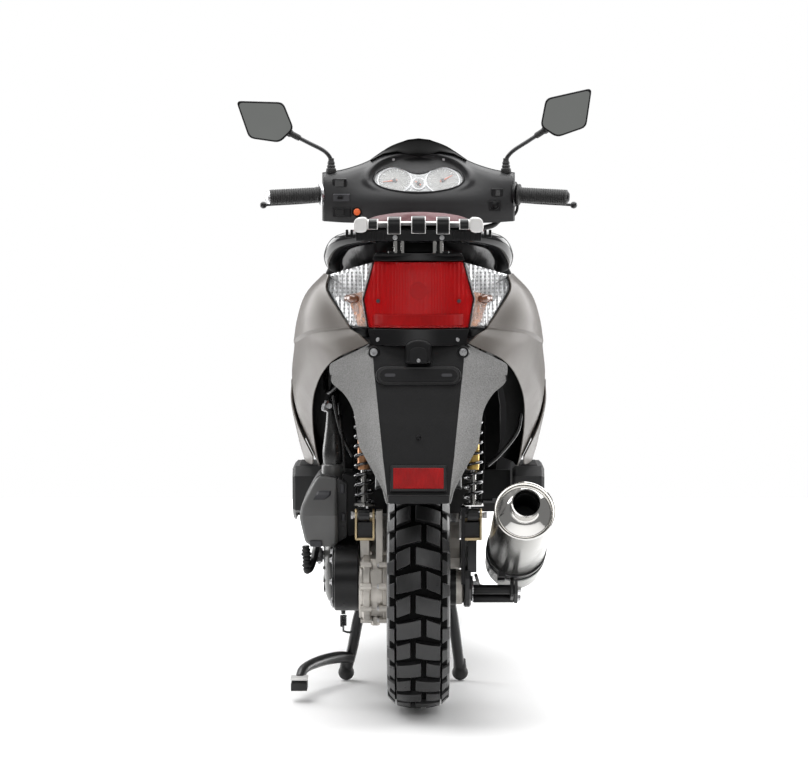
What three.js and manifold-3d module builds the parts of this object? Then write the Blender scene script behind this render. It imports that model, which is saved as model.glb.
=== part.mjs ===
// A step-through moped scooter with a single-sided belt-drive engine unit, on its centre stand.
// Millimetres. +Y is forward, +X is the rider's right, +Z is up. The origin is on the ground under
// the middle of the scooter. Front tyre and stand feet touch the ground, and the rear tyre hangs
// just above it.
import * as THREE from "three";
import { mergeVertices } from "three/addons/utils/BufferGeometryUtils.js";
import Module from "manifold-3d";

const wasm = await Module();
wasm.setup();

// ---------- Driving dimensions ----------
const WHEELBASE = 1350;
const REAR_AXLE = { y: -648, z: 240 };
const FRONT_AXLE = { y: REAR_AXLE.y + WHEELBASE, z: 236 };
const TYRE = { radius: 236, width: 120, bead: 153 };
const RIM = { radius: 151, well: 139, width: 88 };
const PIVOT = { y: -250, z: 365 }; // engine unit swings here
const CRANK = { y: -312, z: 262 };
const RAKE = THREE.MathUtils.degToRad(27);
const FORK_OFFSET = 35;
const FORK_TRACK = 95; // half the distance between fork legs
const SHOCK = { x: 106, top: { y: -610, z: 690 }, foot: { y: -655, z: 381 } };
const STAND = { y: -352, z: 170, tube: 13 };
const KICK = { y: -330, z: 262 };
const SEAT_HINGE = { y: -72, z: 742 };
const BAR = { radius: 11, inner: [218, 290, 1000], outer: [332, 268, 994] };
const MIRROR_SWIVEL = { x: 197, y: 305, z: 1054 };
const MIRROR_BALL = {
  left: [-290, 298, 1138],
  right: [285, 298, 1145],
};
const PANEL = 3; // thickness of a moulded panel

// ---------- Materials ----------
const finish = (color, roughness, metalness = 0, clearness = {}) =>
  new THREE.MeshStandardMaterial({ color, roughness, metalness, ...clearness });
const champagne = finish(0x9b9186, 0.38, 0.45);
const blackPlastic = finish(0x1c1c1d, 0.55);
const blackSteel = finish(0x141414, 0.4, 0.5);
const rubber = finish(0x1a1a1a, 0.85);
const castAlloy = finish(0x8e8a84, 0.45, 0.9);
const chrome = finish(0xd8d6d0, 0.12, 1);
const gold = finish(0xb9954a, 0.3, 1);
const redLens = finish(0xb30f12, 0.15, 0, { transparent: true, opacity: 0.85 });
const clearLens = finish(0xe9edee, 0.1, 0, { transparent: true, opacity: 0.4 });
const vinyl = finish(0x3a1218, 0.5);
const mirrorGlass = finish(0x8b8d88, 0.05, 1);
const signalRed = finish(0xd03a1c, 0.4);

// ---------- Shape helpers: every one returns a manifold solid ----------
const v3 = (p) => new THREE.Vector3(...p);

function solid(geometry) {
  const loose = geometry.index ? geometry.toNonIndexed() : geometry;
  const bare = new THREE.BufferGeometry().setAttribute("position", loose.getAttribute("position"));
  const merged = mergeVertices(bare, 1e-3);
  const build = (triVerts) =>
    new wasm.Manifold(
      new wasm.Mesh({ numProp: 3, vertProperties: merged.attributes.position.array, triVerts }),
    );
  const triangles = new Uint32Array(merged.index.array);
  const made = build(triangles);
  return made.volume() > 0 ? made : build(triangles.reverse());
}

const join = (...solids) => solids.reduce((a, b) => a.add(b));
const cut = (base, ...tools) => tools.reduce((a, b) => a.subtract(b), base);

function box([sx, sy, sz], [x, y, z], turnX = 0) {
  return solid(new THREE.BoxGeometry(sx, sy, sz).rotateX(turnX).translate(x, y, z));
}

// A straight round bar between two points.
function rod(from, to, radius, { endRadius = radius, sides = 12 } = {}) {
  const a = v3(from);
  const b = v3(to);
  const turn = new THREE.Quaternion().setFromUnitVectors(
    new THREE.Vector3(0, 1, 0),
    b.clone().sub(a).normalize(),
  );
  const g = new THREE.CylinderGeometry(endRadius, radius, a.distanceTo(b), sides);
  return solid(g.applyQuaternion(turn).translate(...a.add(b).multiplyScalar(0.5).toArray()));
}

function ball(centre, radius) {
  return solid(new THREE.SphereGeometry(radius, 10, 6).translate(...centre));
}

// A bent tube. Its section is round unless a flatness is given.
function tube(points, radius, { steps = points.length * 3, sides = 8, flatten = 1 } = {}) {
  const section = new THREE.Shape();
  for (let i = 0; i < sides; i++) {
    const a = (i / sides) * 2 * Math.PI;
    section[i ? "lineTo" : "moveTo"](radius * Math.cos(a), radius * flatten * Math.sin(a));
  }
  const path = new THREE.CatmullRomCurve3(points.map(v3), false, "centripetal");
  return solid(
    new THREE.ExtrudeGeometry(section, { steps, extrudePath: path, bevelEnabled: false }),
  );
}

// A ring turned about the X axis from a closed outline of [radius, x] points.
function turned(outline, segments = 26) {
  const points = [...outline, outline[0]].map(([r, x]) => new THREE.Vector2(r, x));
  return solid(new THREE.LatheGeometry(points, segments).rotateZ(-Math.PI / 2));
}

// A solid extruded along X from an outline of [y, z] points or a THREE.Shape.
function prismX(outline, x0, x1, bevel = 0) {
  return extruded(outline, x0, x1, bevel, [0, 1, 0], [0, 0, 1]);
}

// The same along Y, from [x, z] points.
function prismY(outline, y0, y1, bevel = 0) {
  return extruded(outline, -y1, -y0, bevel, [1, 0, 0], [0, 0, 1]);
}

function extruded(outline, from, to, bevel, across, up) {
  const shape =
    outline instanceof THREE.Shape
      ? outline
      : new THREE.Shape(outline.map(([a, b]) => new THREE.Vector2(a, b)));
  const geometry = new THREE.ExtrudeGeometry(shape, {
    depth: to - from - 2 * bevel,
    curveSegments: 6,
    bevelEnabled: bevel > 0,
    bevelSize: bevel,
    bevelThickness: bevel,
    bevelOffset: -bevel,
    bevelSegments: 1,
  });
  geometry.translate(0, 0, from + bevel);
  const basis = new THREE.Matrix4().makeBasis(
    v3(across),
    v3(up),
    v3(across).cross(v3(up)),
  );
  return solid(geometry.applyMatrix4(basis));
}

// Round outline around several circles [y, z, radius], as a belt lies around pulleys.
function beltShape(circles, step = 30) {
  const points = [];
  for (const [y, z, r] of circles)
    for (let a = 0; a < 360; a += step) {
      const t = THREE.MathUtils.degToRad(a);
      points.push([y + r * Math.cos(t), z + r * Math.sin(t)]);
    }
  return convexHull(points);
}

function convexHull(points) {
  const sorted = [...points].sort((a, b) => a[0] - b[0] || a[1] - b[1]);
  const turn = (o, a, b) => (a[0] - o[0]) * (b[1] - o[1]) - (a[1] - o[1]) * (b[0] - o[0]);
  const half = (list) => {
    const chain = [];
    for (const p of list) {
      while (chain.length > 1 && turn(chain.at(-2), chain.at(-1), p) <= 0) chain.pop();
      chain.push(p);
    }
    return chain.slice(0, -1);
  };
  return [...half(sorted), ...half(sorted.reverse())];
}

// A smooth surface through a grid of control points, sampled to rows x columns of cells.
function surface(grid, rows, columns) {
  const spline = (points) => new THREE.CatmullRomCurve3(points, false, "catmullrom", 0.5);
  const across = grid.map((row) => {
    const curve = spline(row.map(v3));
    return Array.from({ length: columns + 1 }, (_, j) => curve.getPoint(j / columns));
  });
  const along = across[0].map((_, j) => {
    const curve = spline(across.map((row) => row[j]));
    return Array.from({ length: rows + 1 }, (_, i) => curve.getPoint(i / rows));
  });
  return Array.from({ length: rows + 1 }, (_, i) => along.map((column) => column[i]));
}

// A moulded panel: the surface, with a second skin the thickness away along its normals.
function panel(grid, rows, columns, thickness = PANEL) {
  const top = surface(grid, rows, columns);
  const under = top.map((row, i) =>
    row.map((p, j) => {
      const alongRow = row[Math.min(j + 1, columns)].clone().sub(row[Math.max(j - 1, 0)]);
      const alongColumn = top[Math.min(i + 1, rows)][j].clone().sub(top[Math.max(i - 1, 0)][j]);
      return p.clone().addScaledVector(alongRow.cross(alongColumn).normalize(), thickness);
    }),
  );
  const vertices = [...top.flat(), ...under.flat()].flatMap((p) => p.toArray());
  const at = (i, j, layer) => layer * (rows + 1) * (columns + 1) + i * (columns + 1) + j;
  const index = [];
  const quad = (a, b, c, d) => index.push(a, b, c, a, c, d);
  for (let i = 0; i < rows; i++)
    for (let j = 0; j < columns; j++) {
      quad(at(i, j, 0), at(i + 1, j, 0), at(i + 1, j + 1, 0), at(i, j + 1, 0));
      quad(at(i, j, 1), at(i, j + 1, 1), at(i + 1, j + 1, 1), at(i + 1, j, 1));
    }
  for (let i = 0; i < rows; i++) {
    quad(at(i, 0, 0), at(i, 0, 1), at(i + 1, 0, 1), at(i + 1, 0, 0));
    quad(at(i, columns, 0), at(i + 1, columns, 0), at(i + 1, columns, 1), at(i, columns, 1));
  }
  for (let j = 0; j < columns; j++) {
    quad(at(0, j, 0), at(0, j + 1, 0), at(0, j + 1, 1), at(0, j, 1));
    quad(at(rows, j, 0), at(rows, j, 1), at(rows, j + 1, 1), at(rows, j + 1, 0));
  }
  const geometry = new THREE.BufferGeometry()
    .setAttribute("position", new THREE.Float32BufferAttribute(vertices, 3))
    .setIndex(index);
  return solid(geometry);
}

// A closed body through rings of points, all with the same number of points.
function loft(rings, rows) {
  const sides = rings[0].length;
  const curves = Array.from({ length: sides }, (_, j) =>
    new THREE.CatmullRomCurve3(rings.map((ring) => v3(ring[j])), false, "catmullrom", 0.5),
  );
  const skin = Array.from({ length: rows + 1 }, (_, i) => curves.map((c) => c.getPoint(i / rows)));
  const centre = (ring) =>
    ring.reduce((sum, p) => sum.add(p), new THREE.Vector3()).divideScalar(sides);
  const vertices = [...skin.flat(), centre(skin[0]), centre(skin[rows])];
  const first = (rows + 1) * sides;
  const index = [];
  for (let i = 0; i < rows; i++)
    for (let j = 0; j < sides; j++) {
      const k = (j + 1) % sides;
      const [a, b, c, d] = [i * sides + j, i * sides + k, (i + 1) * sides + k, (i + 1) * sides + j];
      index.push(a, b, c, a, c, d);
    }
  for (let j = 0; j < sides; j++) {
    const k = (j + 1) % sides;
    index.push(first, k, j, first + 1, rows * sides + j, rows * sides + k);
  }
  return solid(
    new THREE.BufferGeometry()
      .setAttribute(
        "position",
        new THREE.Float32BufferAttribute(vertices.flatMap((p) => p.toArray()), 3),
      )
      .setIndex(index),
  );
}

// A hose or duct: round rings of the given radii square to a smooth line.
function hose(points, radii, { rows = points.length * 2, sides = 10 } = {}) {
  const path = new THREE.CatmullRomCurve3(points.map(v3), false, "catmullrom", 0.5);
  const rings = points.map((_, i) => {
    const t = i / (points.length - 1);
    const forward = path.getTangent(t);
    const side = new THREE.Vector3(0, 1, 0).cross(forward).normalize();
    const up = forward.clone().cross(side);
    return Array.from({ length: sides }, (_, j) => {
      const a = (j / sides) * 2 * Math.PI;
      return path
        .getPoint(t)
        .addScaledVector(side, radii[i] * Math.cos(a))
        .addScaledVector(up, radii[i] * Math.sin(a))
        .toArray();
    });
  });
  return loft(rings, rows);
}

// ---------- Scene building ----------
const scooter = new THREE.Group();

function add(parent, name, shape, material, mirrored = false) {
  const mesh = shape.getMesh();
  const geometry = new THREE.BufferGeometry()
    .setAttribute("position", new THREE.BufferAttribute(Float32Array.from(mesh.vertProperties), 3))
    .setIndex(new THREE.BufferAttribute(Uint32Array.from(mesh.triVerts), 1));
  const piece = new THREE.Mesh(geometry, material);
  piece.name = name;
  if (mirrored) piece.scale.x = -1;
  parent.add(piece);
  return piece;
}

function group(parent, position, turnX = 0, turnY = 0) {
  const made = new THREE.Group();
  made.position.set(...position);
  made.rotation.set(turnX, turnY, 0);
  parent.add(made);
  return made;
}

// The steering frame: Z runs up the steering axis, Y square to it and forward, and its
// origin is the foot of the perpendicular from the front axle.
const steeringOrigin = [
  0,
  FRONT_AXLE.y - FORK_OFFSET * Math.cos(RAKE),
  FRONT_AXLE.z - FORK_OFFSET * Math.sin(RAKE),
];
const onSteeringAxis = (t, ahead = 0, x = 0) => [
  x,
  steeringOrigin[1] - t * Math.sin(RAKE) + ahead * Math.cos(RAKE),
  steeringOrigin[2] + t * Math.cos(RAKE) + ahead * Math.sin(RAKE),
];

const mirroredRow = (row) => [...row.map(([x, y, z]) => [-x, y, z]).reverse(), ...row.slice(1)];

// ---------- Frame ----------
const HEAD_TUBE = { from: 376, to: 520, outer: 26, bore: 18 };

function mainFrame() {
  const headTube = rod(onSteeringAxis(HEAD_TUBE.from), onSteeringAxis(HEAD_TUBE.to), HEAD_TUBE.outer);
  const bore = rod(onSteeringAxis(340), onSteeringAxis(560), HEAD_TUBE.bore);
  const downTube = tube([onSteeringAxis(440, -12), [0, 425, 545], [0, 372, 420], [0, 335, 292]], 19);
  const side = (s) => {
    const rail = tube(
      [
        [0, 345, 300],
        [s * 60, 305, 282],
        [s * 88, 180, 276],
        [s * 88, -40, 276],
        [s * 92, -150, 300],
        [s * 104, -240, 430],
        [s * 118, -330, 575],
        [s * 138, -470, 645],
        [s * 140, -620, 690],
        [s * 128, -745, 724],
      ],
      14,
      { steps: 16 },
    );
    const hanger = box([46, 30, 120], [s * 81, PIVOT.y, PIVOT.z + 36]);
    const shockPin = rod([s * 86, SHOCK.top.y, SHOCK.top.z], [s * 142, SHOCK.top.y, SHOCK.top.z], 6.5);
    const shockBoss = rod([s * 122, SHOCK.top.y, SHOCK.top.z], [s * 150, SHOCK.top.y, SHOCK.top.z], 17);
    return join(rail, hanger, shockPin, shockBoss);
  };
  const cross = (y, z, halfWidth, r = 11) => rod([-halfWidth, y, z], [halfWidth, y, z], r);
  return cut(
    join(
      headTube,
      downTube,
      side(1),
      side(-1),
      cross(60, 276, 88),
      cross(-732, 720, 128),
      cross(-80, 282, 90, 9),
      rod([-70, PIVOT.y, PIVOT.z], [70, PIVOT.y, PIVOT.z], 7.5),
    ),
    bore,
  );
}
add(scooter, "main_frame", mainFrame(), blackSteel);

// ---------- Wheels ----------
function tyre() {
  const { radius: r, width, bead } = TYRE;
  const w = width / 2;
  const half = [
    [r, w * 0.3],
    [r - 7, w * 0.76],
    [r - 28, w],
    [r - 52, w],
    [bead, w * 0.74],
    [bead, w * 0.62],
    [r - 40, w * 0.84],
    [r - 16, w * 0.5],
  ];
  return turned([...half, ...half.map(([a, b]) => [a, -b]).reverse()], 28);
}

// hub and spokes sit between the two x limits, and the barrel is centred
function rim({ hub, spokeX, spokeWidth, boss, bore }) {
  const w = RIM.width / 2;
  const barrel = turned([
    [RIM.radius, -w],
    [RIM.radius, w],
    [RIM.well + 6, w],
    [RIM.well - 2, w * 0.5],
    [RIM.well - 2, -w * 0.5],
    [RIM.well + 6, -w],
  ]);
  const spoke = prismX(
    [
      [20, -17],
      [80, -11],
      [144, -14],
      [144, 14],
      [80, 11],
      [20, 17],
    ],
    spokeX - spokeWidth / 2,
    spokeX + spokeWidth / 2,
  );
  const spokes = Array.from({ length: 5 }, (_, i) => spoke.rotate([i * 72 + 90, 0, 0]));
  const centre = rod([hub[0], 0, 0], [hub[1], 0, 0], boss, { sides: 20 });
  return cut(join(barrel, centre, ...spokes), rod([-80, 0, 0], [80, 0, 0], bore));
}

const rearWheel = group(scooter, [0, REAR_AXLE.y, REAR_AXLE.z]);
add(rearWheel, "rear_tyre", tyre(), rubber);
const drum = rod([6, 0, 0], [50, 0, 0], 70, { sides: 20 });
const rearRim = join(rim({ hub: [-22, 52], spokeX: 14, spokeWidth: 20, boss: 32, bore: 9 }), drum);
add(rearWheel, "rear_rim", cut(rearRim, rod([-80, 0, 0], [80, 0, 0], 9)), castAlloy);

const frontWheel = group(scooter, [0, FRONT_AXLE.y, FRONT_AXLE.z]);
add(frontWheel, "front_tyre", tyre(), rubber);
add(
  frontWheel,
  "front_rim",
  rim({ hub: [-60, 58], spokeX: 0, spokeWidth: 22, boss: 28, bore: 7 }),
  castAlloy,
);
const DISC = { x: -66, radius: 95, thickness: 4 };
const discBody = turned([
  [22, DISC.x - DISC.thickness / 2],
  [DISC.radius, DISC.x - DISC.thickness / 2],
  [DISC.radius, DISC.x + DISC.thickness / 2],
  [22, DISC.x + DISC.thickness / 2],
]);
const discWindows = Array.from({ length: 5 }, (_, i) => {
  const a = (i / 5) * 2 * Math.PI;
  const centre = [44 * Math.cos(a), 44 * Math.sin(a)];
  return rod([DISC.x - 9, ...centre], [DISC.x + 9, ...centre], 11, { sides: 8 });
});
add(frontWheel, "brake_disc", cut(discBody, ...discWindows), chrome);

// ---------- Fork and steering ----------
const FORK = { stanchion: 15, slider: 20, top: 352, low: 115, lip: 215 };
const steering = group(scooter, steeringOrigin, RAKE);

function steeringStem() {
  const bridge = box([2 * FORK_TRACK + 46, 66, 26], [0, 17, 346]);
  const stanchion = (s) =>
    rod([s * FORK_TRACK, FORK_OFFSET, FORK.low], [s * FORK_TRACK, FORK_OFFSET, FORK.top], FORK.stanchion);
  return join(bridge, stanchion(1), stanchion(-1), rod([0, 0, 340], [0, 0, 600], 14));
}
add(steering, "steering_stem", steeringStem(), blackSteel);

function forkLower() {
  const leg = (s) =>
    cut(
      join(
        rod([s * FORK_TRACK, FORK_OFFSET, -24], [s * FORK_TRACK, FORK_OFFSET, FORK.lip], FORK.slider),
        ball([s * FORK_TRACK, FORK_OFFSET, -24], FORK.slider - 1),
      ),
      rod([s * FORK_TRACK, FORK_OFFSET, 22], [s * FORK_TRACK, FORK_OFFSET, 240], FORK.stanchion + 0.6),
    );
  const axle = rod([-FORK_TRACK - 26, FORK_OFFSET, 0], [FORK_TRACK + 26, FORK_OFFSET, 0], 6);
  const caliper = cut(
    box([34, 48, 74], [-FORK_TRACK + 29, -52, 26]),
    box([9, 49, 90], [DISC.x, -38.5, 26]),
  );
  const caliperArm = box([16, 70, 26], [-FORK_TRACK + 8, -12, 24]);
  return join(leg(1), leg(-1), axle, caliperArm, caliper);
}
add(steering, "fork_lower", forkLower(), blackSteel);

// Mudguard over the front wheel: ribs across it, from the front lip to the rear lip.
function frontFender() {
  const rib = (degrees) => {
    const a = THREE.MathUtils.degToRad(degrees);
    const place = (x, r) => [
      x,
      FRONT_AXLE.y + r * Math.cos(a),
      FRONT_AXLE.z + r * Math.sin(a),
    ];
    const [narrow, edge] = degrees < 30 || degrees > 160 ? [0.72, 243] : [1, 216];
    return mirroredRow([
      place(0, 257),
      place(42 * narrow, 254),
      place(68 * narrow, 246),
      place(72 * narrow, edge),
    ]);
  };
  return panel([25, 46, 72, 100, 128, 150, 170].map(rib), 10, 6);
}
add(scooter, "front_fender", frontFender(), champagne);

function handlebar() {
  const riser = cut(
    rod(onSteeringAxis(572), onSteeringAxis(838), 18),
    rod(onSteeringAxis(560), onSteeringAxis(640), 14.6),
  );
  const [ix, iy, iz] = BAR.inner;
  const [ox, oy, oz] = BAR.outer;
  const along = (t) => [ix + (ox - ix) * t, iy + (oy - iy) * t, iz + (oz - iz) * t];
  const right = [[40, 291, 968], [110, 296, 986], along(-0.25), along(0), along(0.5), along(1)];
  const left = right.map(([x, y, z]) => [-x, y, z]).reverse();
  return join(riser, tube([...left, ...right], BAR.radius, { steps: 22 }));
}
add(scooter, "handlebar", handlebar(), blackSteel);

function grip(s) {
  const [ix, iy, iz] = BAR.inner;
  const [ox, oy, oz] = BAR.outer;
  const inner = [s * (ix + 4), iy, iz];
  const outer = [s * (ox + 4), oy, oz];
  const sleeve = rod(inner, outer, 16.5);
  const flange = rod(inner, [s * (ix + 10), iy - 1.2, iz - 0.3], 24);
  const bore = rod([s * (ix - 20), iy + 3.86, iz + 1.05], [s * (ox + 1), oy, oz], BAR.radius + 2);
  return cut(join(sleeve, flange), bore);
}
add(scooter, "left_grip", grip(-1), rubber);
add(scooter, "throttle_grip", grip(1), rubber);

function brakeLever(s) {
  const blade = tube(
    [[s * 204, 344, 987], [s * 222, 352, 986], [s * 275, 341, 981], [s * 350, 326, 976]],
    5,
    { steps: 8, sides: 6 },
  );
  const pivotBoss = rod([s * 204, 344, 979], [s * 204, 344, 995], 9);
  return join(blade, pivotBoss, ball([s * 351, 326, 976], 8));
}
add(scooter, "brake_lever_left", brakeLever(-1), blackSteel);
add(scooter, "brake_lever_right", brakeLever(1), blackSteel);

// ---------- Handlebar covers and controls ----------
const DASH_X = [0, 60, 110, 165, 216];
const dashRow = (heights, depths) => mirroredRow(DASH_X.map((x, i) => [x, depths[i], heights[i]]));
const dashRearGrid = [
  dashRow([1126, 1111, 1079, 1056, 1046], [340, 335, 322, 306, 300]),
  dashRow([1097, 1089, 1066, 1046, 1036], [322, 317, 302, 286, 282]),
  dashRow([1066, 1062, 1048, 1030, 1022], [306, 300, 284, 274, 274]),
  dashRow([1003, 1003, 1000, 996, 992], [256, 256, 258, 264, 270]),
  dashRow([972, 972, 970, 968, 966], [250, 251, 255, 264, 272]),
  dashRow([938, 938, 938, 939, 942], [259, 260, 264, 273, 282]),
];
const dashFrontGrid = [
  dashRow([944, 944, 944, 944, 946], [384, 380, 366, 344, 324]),
  dashRow([982, 980, 976, 972, 970], [408, 404, 386, 358, 336]),
  dashRow([1034, 1030, 1020, 1010, 1005], [418, 412, 392, 362, 338]),
  dashRow([1096, 1086, 1062, 1046, 1038], [404, 398, 376, 348, 328]),
  dashRow([1128, 1113, 1081, 1058, 1048], [346, 341, 328, 312, 306]),
];
const CLUSTER = {
  y: 281,
  z: 1035,
  tilt: THREE.MathUtils.degToRad(40),
  halfWidth: 102,
  halfHeight: 35,
};
const clusterPlug = (grow, from, to) => {
  const outline = new THREE.Shape().absellipse(
    0, 0, CLUSTER.halfWidth + grow, CLUSTER.halfHeight + grow, 0, 2 * Math.PI,
  );
  const geometry = new THREE.ExtrudeGeometry(outline, {
    depth: to - from,
    bevelEnabled: false,
    curveSegments: 7,
  });
  return solid(
    geometry
      .translate(0, 0, from)
      .rotateX(Math.PI / 2 - CLUSTER.tilt)
      .translate(0, CLUSTER.y, CLUSTER.z),
  );
};
const BUTTONS = {
  horn: { x: -138, y: 261, z: 961, radius: 7.5 },
  starter: { x: 170, y: 265, z: 977, radius: 7.5 },
};
const TURN_SWITCH = { x: -176, y: 267, z: 993 };
const buttonHole = ({ x, y, z, radius }) => rod([x, y - 30, z], [x, y + 12, z], radius + 1);
const dashRear = cut(
  panel(dashRearGrid, 8, 12),
  clusterPlug(1.5, -40, 60),
  buttonHole(BUTTONS.horn),
  buttonHole(BUTTONS.starter),
  box([34, 40, 8], [TURN_SWITCH.x, TURN_SWITCH.y, TURN_SWITCH.z]),
);
add(scooter, "dash_rear_cover", dashRear, blackPlastic);
const leverSlot = (s) => box([44, 90, 28], [s * 212, 345, 987]);
const dashFront = cut(panel(dashFrontGrid, 5, 10), leverSlot(1), leverSlot(-1));
add(scooter, "dash_front_cover", dashFront, blackPlastic);
add(scooter, "instrument_cluster", clusterPlug(0, -18, 2), clearLens);
for (const [name, { x, y, z, radius }] of Object.entries(BUTTONS))
  add(scooter, `${name}_button`, rod([x, y - 7, z], [x, y + 10, z], radius), signalRed);
const switchKnob = join(
  box([12, 12, 7], [TURN_SWITCH.x, TURN_SWITCH.y - 6, TURN_SWITCH.z]),
  box([18, 6, 7], [TURN_SWITCH.x, TURN_SWITCH.y + 2, TURN_SWITCH.z]),
);
add(scooter, "turn_switch", switchKnob, blackPlastic);

// ---------- Mirrors ----------
// Outline of the head seen from behind, from the ball joint outwards and up.
const MIRROR_OUTLINE = [
  [-10, 9],
  [14, 69],
  [120, 72],
  [91, -12],
  [22, -22],
];
function mirror(side, s, roll) {
  const { x, y, z } = MIRROR_SWIVEL;
  const [ballX, ballY, ballZ] = MIRROR_BALL[side];
  const stem = join(
    tube(
      [
        [s * x, y, z],
        [s * (x + 1), y, z + 24],
        [s * (x + 16), y - 1, z + 44],
        [ballX, ballY + 9, ballZ],
      ],
      5,
      { steps: 9, sides: 6 },
    ),
    rod([s * x, y, z], [s * x, y, z + 20], 10, { endRadius: 7, sides: 12 }),
  );
  add(scooter, `mirror_stem_${side}`, stem, blackSteel);
  const head = prismY(MIRROR_OUTLINE, -8, 6, 3);
  const holder = group(scooter, [ballX, ballY - 4, ballZ]);
  const piece = add(holder, `mirror_head_${side}`, head, mirrorGlass, s < 0);
  piece.rotation.y = -s * roll;
}
mirror("left", -1, 0);
mirror("right", 1, THREE.MathUtils.degToRad(11));

// ---------- Front bodywork ----------
const legShieldRow = (z, halfWidth, side, mid, centre, sideZ = z) =>
  mirroredRow([
    [0, centre, z],
    [halfWidth * 0.55, mid, z],
    [halfWidth, side, sideZ],
  ]);
const legShield = panel(
  [
    legShieldRow(905, 165, 322, 298, 256, 880),
    legShieldRow(850, 202, 318, 300, 262, 832),
    legShieldRow(760, 228, 322, 305, 268),
    legShieldRow(620, 243, 335, 318, 290),
    legShieldRow(480, 238, 345, 332, 306),
    legShieldRow(356, 205, 352, 344, 322),
  ],
  9,
  8,
);
add(scooter, "leg_shield", legShield, blackPlastic);

const apronGrid = [
  [[0, 402, 905], [96, 384, 900], [165, 336, 884]],
  [[0, 448, 850], [116, 424, 848], [204, 334, 836]],
  [[0, 492, 760], [132, 460, 760], [232, 338, 760]],
  [[0, 528, 680], [140, 480, 675], [247, 346, 660]],
  [[0, 572, 645], [136, 496, 632], [248, 356, 540]],
  [[0, 598, 618], [118, 528, 600], [226, 370, 372]],
].map(mirroredRow);
const LAMP_OUTLINE = [
  [0, 640],
  [78, 655],
  [138, 712],
  [120, 748],
  [60, 736],
  [0, 716],
];
const LAMP_HALF = { width: 138, height: 54, z: 694 };
const mirrorOutline = (half) => [...half, ...half.slice(1, -1).map(([x, z]) => [-x, z]).reverse()];
const lampPrism = (grow) => {
  const outline = LAMP_OUTLINE.map(([x, z]) => [
    x * (1 + grow / LAMP_HALF.width),
    LAMP_HALF.z + (z - LAMP_HALF.z) * (1 + grow / LAMP_HALF.height),
  ]);
  return prismY(mirrorOutline(outline), 380, 620);
};
const apronSkin = panel(apronGrid, 8, 8);
add(scooter, "front_apron", cut(apronSkin, lampPrism(2)), champagne);
const lampBlock = panel(apronGrid.map((row) => row.map(([x, y, z]) => [x, y + 4, z])), 8, 8, 22);
add(scooter, "headlamp", lampBlock.intersect(lampPrism(0)), clearLens);

// ---------- Floor ----------
function floorBoard() {
  const tray = prismX(
    [[-60, 322], [316, 322], [340, 334], [340, 348], [318, 340], [-60, 340]],
    -212,
    212,
    3,
  );
  const stepOutline = [
    [-62, 304],
    [-112, 330],
    [-118, 404],
    [-100, 424],
    [40, 424],
    [105, 352],
    [120, 320],
    [112, 304],
  ];
  const step = (s) => prismX(stepOutline, s > 0 ? 200 : -268, s > 0 ? 268 : -200, 6);
  const stepHollow = (s) => box([56, 130, 120], [s * 234, -36, 352]);
  const downTubeSlot = box([46, 60, 90], [0, 345, 330]);
  return cut(join(tray, step(1), step(-1)), stepHollow(1), stepHollow(-1), downTubeSlot);
}
add(scooter, "floor_board", floorBoard(), blackPlastic);

// ---------- Rear bodywork ----------
const sidePanelGrid = [
  [
    [172, -716, 850], [176, -712, 820], [154, -752, 786],
    [132, -786, 752], [112, -808, 738], [95, -826, 724],
  ],
  [
    [180, -650, 850], [203, -645, 820], [214, -655, 780],
    [206, -675, 738], [188, -700, 705], [168, -722, 682],
  ],
  [
    [186, -540, 846], [222, -530, 805], [239, -530, 752],
    [242, -535, 705], [230, -545, 655], [205, -558, 618],
  ],
  [
    [186, -390, 824], [226, -380, 788], [248, -375, 725],
    [256, -375, 655], [246, -385, 590], [214, -400, 540],
  ],
  [
    [176, -250, 786], [216, -240, 745], [242, -235, 675],
    [253, -235, 600], [242, -245, 520], [208, -265, 445],
  ],
  [
    [158, -140, 738], [194, -130, 690], [220, -128, 625],
    [232, -128, 555], [224, -130, 490], [200, -132, 436],
  ],
  [
    [130, -66, 700], [158, -62, 660], [180, -60, 600],
    [190, -60, 545], [188, -60, 490], [178, -60, 440],
  ],
];
const sidePanel = panel(sidePanelGrid, 10, 7);
add(scooter, "side_panel_right", sidePanel, champagne);
add(scooter, "side_panel_left", sidePanel, champagne, true);

const sideSkirtGrid = [
  [[265, -300, 622], [266, -305, 572], [261, -300, 520], [241, -285, 461]],
  [[264, -228, 617], [271, -225, 570], [267, -220, 505], [246, -207, 438]],
  [[243, -120, 560], [256, -112, 522], [262, -108, 480], [256, -104, 434]],
  [[232, 30, 492], [248, 30, 476], [256, 30, 456], [256, 30, 432]],
];
const sideSkirt = panel(sideSkirtGrid, 6, 4);
add(scooter, "side_skirt_right", sideSkirt, champagne);
add(scooter, "side_skirt_left", sideSkirt, champagne, true);

// The rounded tail face: how far back it lies at a height z and a distance x from the middle.
const tailY = (x, z) => -836 + 0.0035 * x * x + (z - 752) * 0.25;
const tailGrid = (push) =>
  [900, 850, 800, 752, 700].map((z) =>
    [-190, -130, -65, 0, 65, 130, 190].map((x) => [x, tailY(x, z) + push, z]),
  );
const RED_HALF = [[0, 876], [82, 874], [101, 806], [92, 753], [0, 753]];
const TURN_OUTLINE = [[84.5, 875], [172, 849], [174, 822], [131, 753], [94.5, 753], [103.5, 806]];
const tailPart = (outline, push, thickness) =>
  panel(tailGrid(push), 5, 10, -thickness).intersect(prismY(outline, -900, -600));
const lensOf = (outline) => tailPart(outline, 0, 5);
add(scooter, "tail_lamp_lens", lensOf(mirrorOutline(RED_HALF)), redLens);
const turnLens = lensOf(TURN_OUTLINE);
add(scooter, "turn_lens_right", turnLens, clearLens);
add(scooter, "turn_lens_left", turnLens, clearLens, true);

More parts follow.
